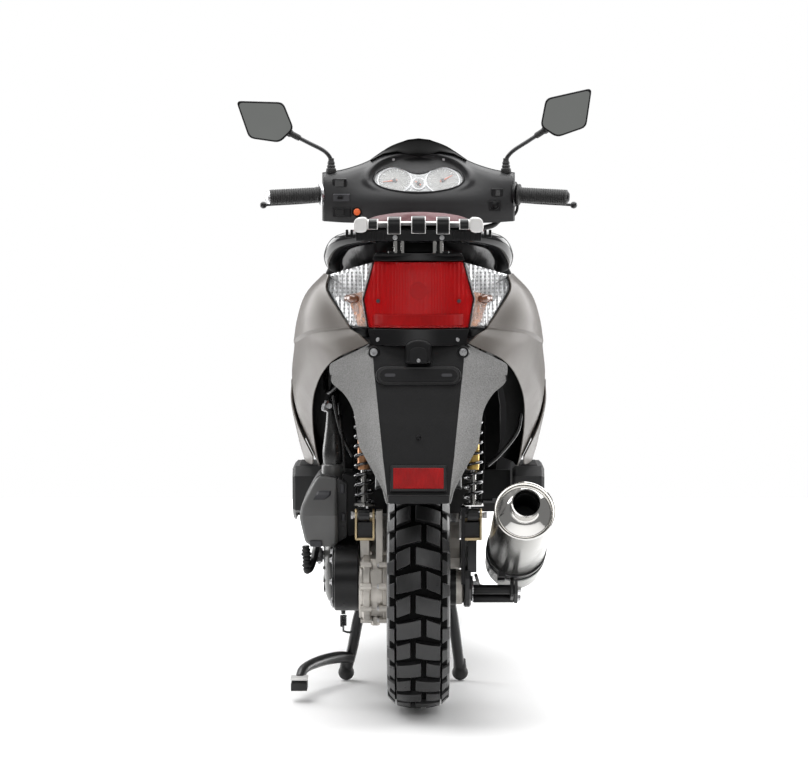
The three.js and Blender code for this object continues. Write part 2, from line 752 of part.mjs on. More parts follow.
const HOUSING_HALF = [[0, 873], [84, 871], [166, 846], [168, 822], [128, 757], [0, 757]];
const HOUSING_DEPTH = 30; // behind the lenses' faces
add(scooter, "tail_lamp_housing", tailPart(mirrorOutline(HOUSING_HALF), HOUSING_DEPTH, 4), chrome);

function tailTrim() {
  const lower = tailPart([[-91, 748], [91, 748], [91, 724], [-91, 724]], 0, 4);
  const upper = tailPart([[-86, 894], [86, 894], [82, 880], [-82, 880]], 0, 4);
  const deck = box([168, 100, 4], [0, -754, 889]);
  const spine = join(
    box([20, 8, 150], [0, -758, 815]),
    box([20, 84, 6], [0, -797, 738]),
    box([20, 60, 6], [0, -782, 886]),
  );
  return join(lower, upper, deck, spine);
}
add(scooter, "tail_trim", tailTrim(), blackPlastic);

// Rear mudguard: a flat plate carrier with a wing folded forward on each side.
const GUARD_ROWS = [
  // height, plate depth, half width of the plate, half width and depth of the wing's edge
  [720, -823, 90, 94, -816],
  [702, -830, 92, 128, -786],
  [678, -840, 92, 168, -760],
  [645, -854, 89, 165, -770],
  [600, -872, 84, 124, -815],
  [572, -884, 80, 118, -834],
  [535, -898, 75, 119, -846],
  [492, -912, 67, 94, -884],
  [457, -924, 61, 71, -914],
  [430, -932, 56, 58, -930],
];
function guardRow([z, y, plate, wing, wingY]) {
  const between = (t) => [plate + (wing - plate) * t, y + (wingY - y) * t, z];
  return mirroredRow([[0, y, z], [plate * 0.97, y, z], between(0.1), between(0.55), between(1)]);
}
const guard = panel(GUARD_ROWS.map(guardRow), 10, 8);
const lampHood = box([44, 26, 34], [0, -844, 702]);
const plateRest = box([128, 14, 22], [0, -855, 664]);
add(scooter, "rear_mudguard", join(guard, lampHood, plateRest), blackPlastic);
const REFLECTOR = { y: -922, z: 478, lean: Math.atan2(20, 62) }; // leans as the plate under it does
const reflector = box([94, 7, 40], [0, REFLECTOR.y, REFLECTOR.z], -REFLECTOR.lean);
add(scooter, "rear_reflector", reflector, redLens);

// Wheel-arch liner over the rear wheel, with room for the wheel to rise.
function innerFender() {
  const rib = (degrees) => {
    const a = THREE.MathUtils.degToRad(degrees);
    const place = (x, r) => [x, REAR_AXLE.y + r * Math.cos(a), REAR_AXLE.z + r * Math.sin(a)];
    return mirroredRow([place(0, 318), place(54, 316), place(76, 312), place(81, 307)]);
  };
  return panel([38, 60, 85, 110, 130, 146].map(rib), 8, 6);
}
add(scooter, "inner_fender", innerFender(), blackPlastic);

// The bucket under the seat, with the panel that closes the body in front of it.
const SEAT_FRONT_ROWS = [
  // height, half width, depth at the edge and in the middle
  [716, 112, -82, -62],
  [660, 148, -78, -54],
  [600, 168, -76, -50],
  [500, 176, -76, -48],
  [420, 166, -74, -50],
  [346, 158, -70, -56],
];
function storageBucket() {
  const front = panel(
    SEAT_FRONT_ROWS.map(([z, halfWidth, edge, middle]) =>
      mirroredRow([[0, middle, z], [halfWidth * 0.6, middle - 4, z], [halfWidth, edge, z]]),
    ),
    6,
    6,
  );
  const bracket = box([60, 84, 8], [0, -98, 690]);
  const outer = prismX([[-540, 566], [-180, 566], [-140, 620], [-132, 742], [-540, 812]], -86, 86, 0);
  const inner = prismX([[-537, 570], [-182, 570], [-143, 621], [-135, 790], [-537, 860]], -83, 83, 0);
  return join(cut(outer, inner), front, bracket);
}
add(scooter, "storage_bucket", storageBucket(), blackPlastic);
const tank = join(
  prismX([[-712, 610], [-560, 588], [-552, 600], [-552, 800], [-712, 800]], -84, 84, 8),
  rod([0, -650, 796], [0, -650, 822], 26),
);
add(scooter, "fuel_tank", tank, blackSteel);

// ---------- Seat ----------
// Stations from the nose to the rear: y, half width, underside, crown height.
const SEAT_STATIONS = [
  [-64, 66, 742, 762],
  [-100, 108, 744, 800],
  [-200, 150, 772, 832],
  [-330, 172, 806, 846],
  [-420, 174, 826, 872],
  [-480, 168, 838, 920],
  [-600, 148, 856, 952],
  [-672, 122, 866, 956],
  [-696, 96, 880, 940],
];
function seatRing([y, halfWidth, under, crown]) {
  const rise = crown - under;
  const right = [
    [0, y, crown],
    [halfWidth * 0.5, y, crown - rise * 0.02],
    [halfWidth * 0.84, y, crown - rise * 0.16],
    [halfWidth, y, crown - rise * 0.5],
    [halfWidth * 0.97, y, under + rise * 0.1],
    [halfWidth * 0.86, y, under],
    [0, y, under],
  ];
  return [...right, ...right.slice(1, -1).map(([x, b, c]) => [-x, b, c]).reverse()];
}
add(scooter, "seat_cushion", loft(SEAT_STATIONS.map(seatRing), 12), vinyl);
const seatPanRow = ([y, halfWidth, under]) =>
  [-0.84, -0.4, 0, 0.4, 0.84].map((s) => [s * halfWidth, y, under - 3]);
const seatPan = join(
  panel(SEAT_STATIONS.slice(0, 8).map(seatPanRow), 7, 4, 4),
  box([60, 16, 11], [0, SEAT_HINGE.y, SEAT_HINGE.z - 8.5]),
);
const hingeBore = rod([-50, SEAT_HINGE.y, SEAT_HINGE.z - 9], [50, SEAT_HINGE.y, SEAT_HINGE.z - 9], 3);
add(scooter, "seat_base", cut(seatPan, hingeBore), blackPlastic);

// ---------- Grab rail and rack ----------
const railHalf = [
  [0, -792, 926],
  [70, -786, 928],
  [124, -762, 926],
  [156, -720, 912],
  [170, -660, 888],
  [172, -585, 868],
];
const grabRail = tube(mirroredRow(railHalf), 16, { steps: 20, flatten: 0.62 });
add(scooter, "grab_rail", grabRail, champagne);

function rearRack() {
  const plate = box([224, 96, 8], [0, -760, 944]);
  const ribs = [-86, -43, 0, 43, 86].map((x) => box([20, 84, 22], [x, -754, 954]));
  const windows = [-64.5, -21.5, 21.5, 64.5].map((x) => box([17, 60, 20], [x, -756, 944]));
  const posts = [-46, 46].map((x) => rod([x, -758, 892], [x, -758, 944], 7));
  return cut(join(plate, ...ribs, ...posts, box([76, 30, 50], [0, -740, 918])), ...windows);
}
add(scooter, "rear_rack", rearRack(), blackPlastic);

// ---------- Engine unit ----------
function engineCase() {
  const crankcase = rod([-112, CRANK.y, CRANK.z], [62, CRANK.y, CRANK.z], 78, { sides: 18 });
  const axleAt = (x) => [x, REAR_AXLE.y, REAR_AXLE.z];
  const armShape = beltShape([[CRANK.y, CRANK.z, 62], [REAR_AXLE.y, REAR_AXLE.z + 8, 58]]);
  const arm = prismX(armShape, -112, -68, 3);
  const gearCase = rod(axleAt(-112), axleAt(-40), 58, { sides: 20 });
  const barrel = box([96, 150, 92], [0, -190, 272]);
  const head = box([112, 60, 104], [0, -132, 274]);
  const fins = [-230, -210, -190].map((y) => box([122, 5, 112], [0, y, 272]));
  const fan = rod([62, CRANK.y, CRANK.z], [84, CRANK.y, CRANK.z], 66, { sides: 20 });
  const lugs = [-1, 1].map((s) =>
    cut(
      box([16, 30, 74], [s * 44, PIVOT.y, PIVOT.z - 20]),
      rod([s * 30, PIVOT.y, PIVOT.z], [s * 58, PIVOT.y, PIVOT.z], 8),
    ),
  );
  const shaft = rod(axleAt(-60), axleAt(84), 8.4);
  const { x, foot } = SHOCK;
  const shockLug = prismX(
    [[foot.y - 40, 290], [foot.y + 40, 290], [foot.y + 14, foot.z + 10], [foot.y - 14, foot.z + 10]],
    -82,
    -70,
  );
  const shockPin = rod([-70, foot.y, foot.z], [-x - 16, foot.y, foot.z], 6);
  const standHanger = [-60, 40].map((a) => box([14, 40, 60], [a, STAND.y + 24, STAND.z + 22]));
  const castings = join(crankcase, arm, gearCase, barrel, head, ...fins, fan);
  const standBore = rod([-80, STAND.y, STAND.z], [80, STAND.y, STAND.z], STAND.tube + 1.5);
  return cut(join(castings, ...lugs, shaft, shockLug, shockPin, ...standHanger), standBore);
}
add(scooter, "engine_case", engineCase(), castAlloy);

const cvtBelt = beltShape([[REAR_AXLE.y + 6, 262, 62], [CRANK.y - 4, 262, 76]]);
const cvtCover = cut(
  join(
    prismX(cvtBelt, -164, -113, 8),
    rod([-186, CRANK.y, 262], [-160, CRANK.y, 262], 64, { sides: 18, endRadius: 68 }),
  ),
  rod([-190, KICK.y, KICK.z], [-150, KICK.y, KICK.z], 8.6),
);
add(scooter, "cvt_cover", cvtCover, blackPlastic);

function kickLever() {
  const { y, z } = KICK;
  const shaft = rod([-158, y, z], [-200, y, z], 8);
  const boss = rod([-189, y, z], [-207, y, z], 15);
  const arm = tube(
    [[-198, y, z], [-204, y - 60, z - 2], [-214, y - 120, z - 10], [-218, y - 140, z - 12]],
    8,
    { steps: 8 },
  );
  const peg = rod([-224, y - 146, z - 18], [-226, y - 150, z + 42], 9, { sides: 12 });
  const knuckle = box([20, 20, 18], [-218, y - 142, z - 12]);
  return join(shaft, boss, arm, knuckle, peg);
}
add(scooter, "kick_lever", kickLever(), blackSteel);

const AIRBOX_OUTLINE = [
  [-168, 314],
  [-216, 318],
  [-226, 364],
  [-208, 420],
  [-184, 440],
  [-136, 440],
  [-136, 345],
  [-168, 338],
];
add(scooter, "airbox", prismY(AIRBOX_OUTLINE, -640, -446, 6), blackPlastic);
const DUCT_ROUTE = [
  [-174, -520, 444],
  [-175, -520, 480],
  [-174, -512, 535],
  [-173, -500, 585],
  [-172, -484, 622],
  [-168, -450, 640],
];
const duct = hose(DUCT_ROUTE, [28, 30, 24, 13, 12, 12]);
add(scooter, "intake_duct", duct, rubber);

function swingArmRight() {
  const arm = prismX(beltShape([[CRANK.y, 262, 34], [REAR_AXLE.y, REAR_AXLE.z, 40]]), 88, 102, 3);
  const axleAt = (x) => [x, REAR_AXLE.y, REAR_AXLE.z];
  const upright = prismX([[-690, 250], [-616, 250], [-636, 398], [-674, 398]], 83, 90);
  const { foot, x } = SHOCK;
  const pin = rod([84, foot.y, foot.z], [x + 16, foot.y, foot.z], 6);
  const brakePlate = rod(axleAt(56), axleAt(62), 68, { sides: 20 });
  const boss = rod(axleAt(60), axleAt(106), 22);
  const rods = [
    [-672, 238],
    [-652, 219],
  ].map(([y, z]) => rod([98, y, z], [192, y, z], 6));
  const strap = prismX(
    [
      [-664, 210],
      [-642, 210],
      [-642, 232],
      [-658, 248],
      [-690, 260],
      [-690, 232],
    ],
    186,
    192,
  );
  const mount = rod([80, CRANK.y, CRANK.z], [90, CRANK.y, CRANK.z], 30);
  return cut(
    join(arm, upright, pin, brakePlate, boss, ...rods, strap, mount),
    rod(axleAt(50), axleAt(110), 9),
    rod([70, CRANK.y, CRANK.z], [84.5, CRANK.y, CRANK.z], 67, { sides: 20 }),
  );
}
add(scooter, "swing_arm_right", swingArmRight(), blackSteel);

// Exhaust: the pipe from the cylinder head, the silencer can, its stepped end cap and the tip.
const CAN = { front: [187, -585, 280], rear: [198, -880, 414], radius: 56 };
function muffler() {
  const front = v3(CAN.front);
  const rear = v3(CAN.rear);
  const along = rear.clone().sub(front).normalize();
  const at = (d) => rear.clone().addScaledVector(along, d).toArray();
  const from = (d) => front.clone().addScaledVector(along, d).toArray();
  const can = rod(from(0), at(0), CAN.radius, { sides: 20 });
  const cone = rod(from(-34), from(1), 20, { endRadius: CAN.radius - 4, sides: 20 });
  const cap = rod(at(-1), at(14), CAN.radius - 4, { endRadius: 30, sides: 20 });
  const tip = rod(at(10), at(46), 27, { sides: 20 });
  const outlet = rod(at(-60), at(60), 23, { sides: 20 });
  const chamber = rod(from(4), at(-4), CAN.radius - 3, { sides: 20 });
  const route = [
    from(-24),
    [180, -540, 246],
    [164, -450, 205],
    [142, -340, 186],
    [112, -240, 180],
    [52, -176, 182],
    [0, -146, 206],
  ];
  const pipe = tube(route, 13, { steps: 14 });
  return cut(join(can, cone, cap, tip, pipe), outlet, chamber);
}
add(scooter, "muffler", muffler(), chrome);

// ---------- Rear shock absorbers ----------
const shockLength = Math.hypot(SHOCK.top.y - SHOCK.foot.y, SHOCK.top.z - SHOCK.foot.z);
const shockLean = Math.atan2(SHOCK.foot.y - SHOCK.top.y, SHOCK.top.z - SHOCK.foot.z);
const SPRING = { radius: 18, wire: 3.4, turns: 6, from: -34, to: -shockLength + 62 };

// Drawn with the top eye at the origin and the foot straight down.
function shockUpper() {
  const eye = cut(rod([-12, 0, 0], [12, 0, 0], 15), rod([-20, 0, 0], [20, 0, 0], 7.2));
  const neck = rod([0, 0, -10], [0, 0, -26], 9);
  const cup = rod([0, 0, -24], [0, 0, -30], 22);
  const body = rod([0, 0, -28], [0, 0, -168], 12.5);
  return cut(join(eye, neck, cup, body), rod([0, 0, -60], [0, 0, -200], 7.4));
}

function shockLower() {
  const l = -shockLength;
  const shaft = rod([0, 0, -122], [0, 0, l + 46], 6);
  const cup = rod([0, 0, l + 50], [0, 0, l + 58], 22);
  const yoke = cut(box([26, 26, 60], [0, 0, l + 24]), rod([-20, 0, l], [20, 0, l], 8));
  return join(shaft, cup, yoke);
}

function shockSpring() {
  const { radius, wire, turns, from, to } = SPRING;
  const perTurn = 8;
  const points = Array.from({ length: turns * perTurn + 1 }, (_, i) => {
    const a = (i / perTurn) * 2 * Math.PI;
    const z = from - wire + ((to - from + 2 * wire) * i) / (turns * perTurn);
    return [radius * Math.cos(a), radius * Math.sin(a), z];
  });
  return tube(points, wire, { steps: turns * perTurn, sides: 4 });
}

for (const [side, s] of [["left", -1], ["right", 1]]) {
  const shock = group(scooter, [s * SHOCK.x, SHOCK.top.y, SHOCK.top.z], shockLean);
  add(shock, `shock_upper_${side}`, shockUpper(), gold);
  add(shock, `shock_lower_${side}`, shockLower(), gold);
  add(shock, `shock_spring_${side}`, shockSpring(), blackSteel);
}

// ---------- Centre stand ----------
function centreStand() {
  const { y, z, tube: r } = STAND;
  const shaft = rod([-112, y, z], [72, y, z], r - 1);
  const leg = (top, foot) => {
    const knee = [(top[0] * 2 + foot[0]) / 3, y + 4, z - 40];
    return join(tube([top, knee, foot], 11, { steps: 5 }), ball(foot, 16));
  };
  const left = leg([-112, y, z], [-149, -318, 16]);
  const right = leg([64, y, z], [86, -318, 16]);
  const tang = tube(
    [[-142, -330, 52], [-178, -352, 56], [-212, -420, 52], [-232, -500, 46], [-236, -548, 40]],
    8,
    { steps: 9, sides: 6 },
  );
  const pad = box([32, 44, 26], [-236, -560, 36]);
  return join(shaft, left, right, tang, pad);
}
add(scooter, "centre_stand", centreStand(), blackSteel);

export default scooter;
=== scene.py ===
import math

import bmesh
import bpy
import numpy as np
from mathutils import Matrix, Vector
from mathutils.bvhtree import BVHTree
from mathutils.geometry import convex_hull_2d


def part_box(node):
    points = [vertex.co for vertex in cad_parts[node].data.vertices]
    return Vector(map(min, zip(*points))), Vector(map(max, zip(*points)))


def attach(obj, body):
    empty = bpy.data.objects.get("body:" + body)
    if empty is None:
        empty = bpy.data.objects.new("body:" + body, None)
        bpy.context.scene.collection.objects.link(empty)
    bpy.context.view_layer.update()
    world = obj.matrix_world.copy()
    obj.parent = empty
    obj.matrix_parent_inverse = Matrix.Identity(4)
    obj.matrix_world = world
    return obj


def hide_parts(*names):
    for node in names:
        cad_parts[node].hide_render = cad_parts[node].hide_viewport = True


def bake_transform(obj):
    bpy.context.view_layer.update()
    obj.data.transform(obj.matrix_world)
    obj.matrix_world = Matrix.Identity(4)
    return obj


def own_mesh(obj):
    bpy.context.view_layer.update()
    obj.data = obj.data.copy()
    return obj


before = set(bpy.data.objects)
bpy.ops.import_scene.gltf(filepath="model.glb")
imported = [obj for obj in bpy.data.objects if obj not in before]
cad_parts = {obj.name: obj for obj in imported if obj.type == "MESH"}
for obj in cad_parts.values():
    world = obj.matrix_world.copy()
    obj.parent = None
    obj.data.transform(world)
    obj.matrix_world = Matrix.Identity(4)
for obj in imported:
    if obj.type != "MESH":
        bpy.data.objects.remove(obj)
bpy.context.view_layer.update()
MM = 0.001


# ---------- Camera, lights and floor ----------
CAMERA_PLACE = (0.0, -6.308, 1.017)
CAMERA_DOWN = 3.97
CAMERA_TURN = 0.284
CAMERA_LENS = 130.37
WORLD_LIGHT = 0.26
FLOOR_HALF = 3.2
# name, place, aim, size, watts
SOFTBOXES = [
    ("left_box", (-3.2, 2.0, 1.3), (0, 0, 0.6), (2.6, 2.2), 95),
    ("right_box", (3.2, 2.0, 1.3), (0, 0, 0.6), (2.6, 2.2), 95),
    ("top_box", (0, 1.0, 3.4), (0, 0.6, 0), (6, 6), 430),
    ("front_box", (0, -5.5, 3.2), (0, -0.6, 0.5), (3, 2), 40),
]


def set_stage():
    """The camera, a pale floor under a white sky, and four soft boxes. Places here are in metres."""
    scene = bpy.context.scene
    scene.view_settings.view_transform = "Standard"
    data = bpy.data.cameras.new("camera")
    data.lens = CAMERA_LENS
    camera = bpy.data.objects.new("camera", data)
    camera.location = CAMERA_PLACE
    camera.rotation_euler = (math.radians(90 - CAMERA_DOWN), 0, math.radians(CAMERA_TURN))
    scene.collection.objects.link(camera)
    scene.camera = camera

    floor = bpy.data.meshes.new("floor")
    corners = [(a * FLOOR_HALF, b * FLOOR_HALF, 0) for a, b in ((-1, -1), (1, -1), (1, 1), (-1, 1))]
    floor.from_pydata(corners, [], [(0, 1, 2, 3)])
    plane = bpy.data.objects.new("floor", floor)
    scene.collection.objects.link(plane)
    paper = bpy.data.materials.new("paper")
    paper.use_nodes = True
    shader = paper.node_tree.nodes["Principled BSDF"]
    shader.inputs["Base Color"].default_value = (0.93, 0.93, 0.93, 1)
    shader.inputs["Roughness"].default_value = 0.45
    floor.materials.append(paper)

    world = bpy.data.worlds.new("studio")
    scene.world = world
    world.use_nodes = True
    tree = world.node_tree
    soft, paper_white = tree.nodes["Background"], tree.nodes.new("ShaderNodeBackground")
    for shade, strength in ((soft, WORLD_LIGHT), (paper_white, 1)):
        shade.inputs["Color"].default_value = (1, 1, 1, 1)
        shade.inputs["Strength"].default_value = strength
    pick, ray = tree.nodes.new("ShaderNodeMixShader"), tree.nodes.new("ShaderNodeLightPath")
    tree.links.new(ray.outputs["Is Camera Ray"], pick.inputs["Fac"])
    tree.links.new(soft.outputs[0], pick.inputs[1])
    tree.links.new(paper_white.outputs[0], pick.inputs[2])
    tree.links.new(pick.outputs[0], tree.nodes["World Output"].inputs["Surface"])

    for name, place, aim, size, power in SOFTBOXES:
        light = bpy.data.lights.new(name, "AREA")
        light.shape = "RECTANGLE"
        light.size, light.size_y = size
        light.energy = power
        lamp = bpy.data.objects.new(name, light)
        lamp.location = place
        lamp.rotation_euler = (Vector(aim) - Vector(place)).to_track_quat("-Z", "Y").to_euler()
        scene.collection.objects.link(lamp)


set_stage()


# ---------- Shapes: (vertices, faces) in millimetres ----------
def spline(points, count):
    """count + 1 points on a smooth curve through the points, evenly spread between them."""
    p = np.asarray(points, float)
    p = np.concatenate([[2 * p[0] - p[1]], p, [2 * p[-1] - p[-2]]])
    spans = len(p) - 3
    out = []
    for k in range(count + 1):
        at = min(k / count * spans, spans - 1e-9)
        i = int(at)
        t = at - i
        a, b, c, d = p[i : i + 4]
        out.append(
            0.5 * (2 * b + (c - a) * t + (2 * a - 5 * b + 4 * c - d) * t**2 + (3 * b - a - 3 * c + d) * t**3)
        )
    return np.array(out)


def sheet(grid, rows, columns):
    """An open smooth surface through a grid of points."""
    return patch(lofted([spline(row, columns) for row in grid], rows))


def patch(points):
    """Faces over rows of points."""
    points = np.asarray(points, float)
    rows, columns = points.shape[0] - 1, points.shape[1] - 1
    wide = columns + 1
    corners = [i * wide + j for i in range(rows) for j in range(columns)]
    return points.reshape(-1, 3), [(k, k + wide, k + wide + 1, k + 1) for k in corners]


def lofted(rings, rows):
    """A surface through matching rings of points, with a smooth line along each point."""
    rings = np.array(rings)
    return np.array([spline(rings[:, j], rows) for j in range(rings.shape[1])]).transpose(1, 0, 2)


def join(*shapes):
    """Several shapes as one."""
    vertices, faces, start = [], [], 0
    for v, f in shapes:
        vertices.append(np.asarray(v, float))
        faces += [tuple(i + start for i in face) for face in f]
        start += len(v)
    return np.concatenate(vertices), faces


def moved(shape, matrix):
    """A shape placed by a matrix."""
    v, f = shape
    m = np.array(matrix)
    return np.asarray(v) @ m[:3, :3].T + m[:3, 3], f


def at(x, y, z, turn_x=0.0, turn_y=0.0, turn_z=0.0):
    """A placing matrix from a place in millimetres and turns in degrees."""
    turns = [
        Matrix.Rotation(math.radians(a), 4, k)
        for a, k in ((turn_z, "Z"), (turn_y, "Y"), (turn_x, "X"))
    ]
    return Matrix.Translation((x, y, z)) @ turns[0] @ turns[1] @ turns[2]


def flipped(shape):
    """The same shape on the scooter's other side."""
    v, f = shape
    return np.asarray(v) * (-1, 1, 1), [tuple(reversed(face)) for face in f]


def both(shape):
    """A shape on both sides of the scooter."""
    return join(shape, flipped(shape))


# each side, and what carries a shape made for the right side over to it
SIDES = (("right", lambda shape: shape), ("left", flipped))


def box(size, place, **turns):
    """A block about its middle, with turns in degrees as at() takes them."""
    s = np.array(size) / 2
    v = [(x, y, z) for x in (-s[0], s[0]) for y in (-s[1], s[1]) for z in (-s[2], s[2])]
    f = [(0, 1, 3, 2), (4, 6, 7, 5), (0, 4, 5, 1), (2, 3, 7, 6), (0, 2, 6, 4), (1, 5, 7, 3)]
    return moved((v, f), at(*place, **turns))


def prism(outline, low, high, along="x"):
    """An outline extruded along an axis. It is (y, z) along x, (x, z) along y and (x, y) along z."""
    place = {
        "x": lambda a, b, d: (d, a, b), "y": lambda a, b, d: (a, d, b), "z": lambda a, b, d: (a, b, d)
    }[along]
    n = len(outline)
    v = [place(a, b, d) for d in (low, high) for a, b in outline]
    f = [tuple(range(n)), tuple(reversed(range(n, 2 * n)))]
    f += [(i, (i + 1) % n, n + (i + 1) % n, n + i) for i in range(n)]
    return v, f


def frame_along(directions):
    """A side and an up vector at each point of a line, with no twist."""
    up = np.array([0, 0, 1.0])
    if abs(directions[0][2]) > 0.9:
        up = np.array([0, 1.0, 0])
    sides, ups = [], []
    for d in directions:
        side = np.cross(d, up)
        side /= np.linalg.norm(side)
        up = np.cross(side, d)
        sides.append(side)
        ups.append(up)
    return np.array(sides), np.array(ups)


def tube(points, radius, sides=16, steps=None, flat=1.0, smooth=True):
    """A closed tube along points, with one radius or one for each point."""
    radii = np.full(len(points), float(radius)) if np.isscalar(radius) else np.asarray(radius, float)
    if smooth and len(points) > 2:
        steps = steps or len(points) * 6
        line = spline(points, steps)
        radii = spline(np.stack([radii] * 3, 1), steps)[:, 0]
    else:
        line = np.asarray(points, float)
    directions = np.gradient(line, axis=0)
    directions /= np.linalg.norm(directions, axis=1)[:, None]
    side, up = frame_along(directions)
    angle = np.arange(sides) / sides * 2 * math.pi
    n = len(line)
    circle = lambda i: np.outer(np.cos(angle), side[i]) + flat * np.outer(np.sin(angle), up[i])
    rings = np.array([line[i] + radii[i] * circle(i) for i in range(n)])
    faces = []
    for i in range(n - 1):
        for j in range(sides):
            k = (j + 1) % sides
            faces.append((i * sides + j, i * sides + k, (i + 1) * sides + k, (i + 1) * sides + j))
    faces += [tuple(reversed(range(sides))), tuple(range((n - 1) * sides, n * sides))]
    return rings.reshape(-1, 3), faces


def rod(a, b, radius, end_radius=None, sides=32):
    """A straight round bar between two points, tapered if it has an end radius."""
    return tube([a, b], [radius, radius if end_radius is None else end_radius], sides, smooth=False)


def turned(outline, matrix, segments=48, closed=True):
    """A body turned about the local X axis from (radius, x) points. An open outline ends at radius 0."""
    n = len(outline)
    angle = np.arange(segments) / segments * 2 * math.pi
    v = [(x, r * math.cos(a), r * math.sin(a)) for a in angle for r, x in outline]
    f = []
    for s in range(segments):
        t = (s + 1) % segments
        for i in range(n if closed else n - 1):
            k = (i + 1) % n
            f.append((s * n + i, s * n + k, t * n + k, t * n + i))
    return moved((v, f), matrix)


def ball(place, radius, segments=24):
    """A ball with its poles on the X axis."""
    arc = [(radius * math.sin(a), -radius * math.cos(a)) for a in np.linspace(0.02, math.pi - 0.02, 12)]
    return turned(arc, at(*place), segments, closed=True)


def hex_bolt(place, radius, height, axis="y", washer=1.35):
    """A bolt head on a washer. It faces -Y, or -X or +X for axis 'x' or '-x'."""
    turn = {"y": dict(turn_z=90), "x": dict(), "-x": dict(turn_z=180)}[axis]
    six = [(radius * math.cos(a), radius * math.sin(a)) for a in np.arange(6) * math.pi / 3]
    head = prism(six, -height, -height * 0.25, "x")
    disc = rod((-height * 0.25, 0, 0), (0, 0, 0), radius * washer, sides=24)
    return moved(join(head, disc), at(*place, **turn))


def along(start, end):
    """A placing matrix whose local X runs from one point to another."""
    line = Vector(end) - Vector(start)
    return Matrix.Translation(Vector(start)) @ line.to_track_quat("X", "Z").to_matrix().to_4x4()


# ---------- Making a piece ----------
def make(
    name, shape, look, body, replaces=(), skin=0.0, bevel=0.0, sharp=32, away_from=None, inside=None,
):
    """A piece from a shape. A skin turns an open sheet, facing away from a point, into a panel that thick.
    """
    vertices, faces = shape
    mesh = bpy.data.meshes.new(name)
    mesh.from_pydata((np.asarray(vertices, float) * MM).tolist(), [], faces)
    bm = bmesh.new()
    bm.from_mesh(mesh)
    bmesh.ops.remove_doubles(bm, verts=bm.verts, dist=1e-6)
    bmesh.ops.dissolve_degenerate(bm, dist=1e-7, edges=bm.edges)
    bmesh.ops.recalc_face_normals(bm, faces=bm.faces)
    if away_from is not None:
        centre = Vector(away_from) * MM
        if sum(f.normal.dot(f.calc_center_median() - centre) * f.calc_area() for f in bm.faces) < 0:
            bmesh.ops.reverse_faces(bm, faces=bm.faces)
    for face in bm.faces:
        face.smooth = True
    limit = math.radians(sharp)
    for edge in bm.edges:
        edge.smooth = not (len(edge.link_faces) == 2 and edge.calc_face_angle(0) > limit)
    bm.to_mesh(mesh)
    bm.free()
    piece = bpy.data.objects.new(name, mesh)
    bpy.context.scene.collection.objects.link(piece)
    mesh.materials.append(look)
    if skin:
        thick = piece.modifiers.new("skin", "SOLIDIFY")
        thick.thickness = skin * MM
        thick.offset = -1
        if inside:
            mesh.materials.append(inside)
            thick.material_offset = 1
    if bevel:
        edge = piece.modifiers.new("edges", "BEVEL")
        edge.width = bevel * MM
        edge.segments = 2
        edge.limit_method = "ANGLE"
        edge.angle_limit = limit
        edge.harden_normals = True
    if body:
        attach(piece, body)
    for node in [replaces] if isinstance(replaces, str) else replaces:
        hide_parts(node)
    return piece


def refinish(node, look, bevel=0.8):
    """Keeps a CAD node's shape, with soft edges and a better material."""
    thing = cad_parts[node]
    thing.data.materials.clear()
    thing.data.materials.append(look)
    for face in thing.data.polygons:
        face.use_smooth = True
    edge = thing.modifiers.new("edges", "BEVEL")
    edge.width = bevel * MM
    edge.segments = 2
    edge.limit_method = "ANGLE"
    edge.angle_limit = math.radians(28)
    edge.harden_normals = True


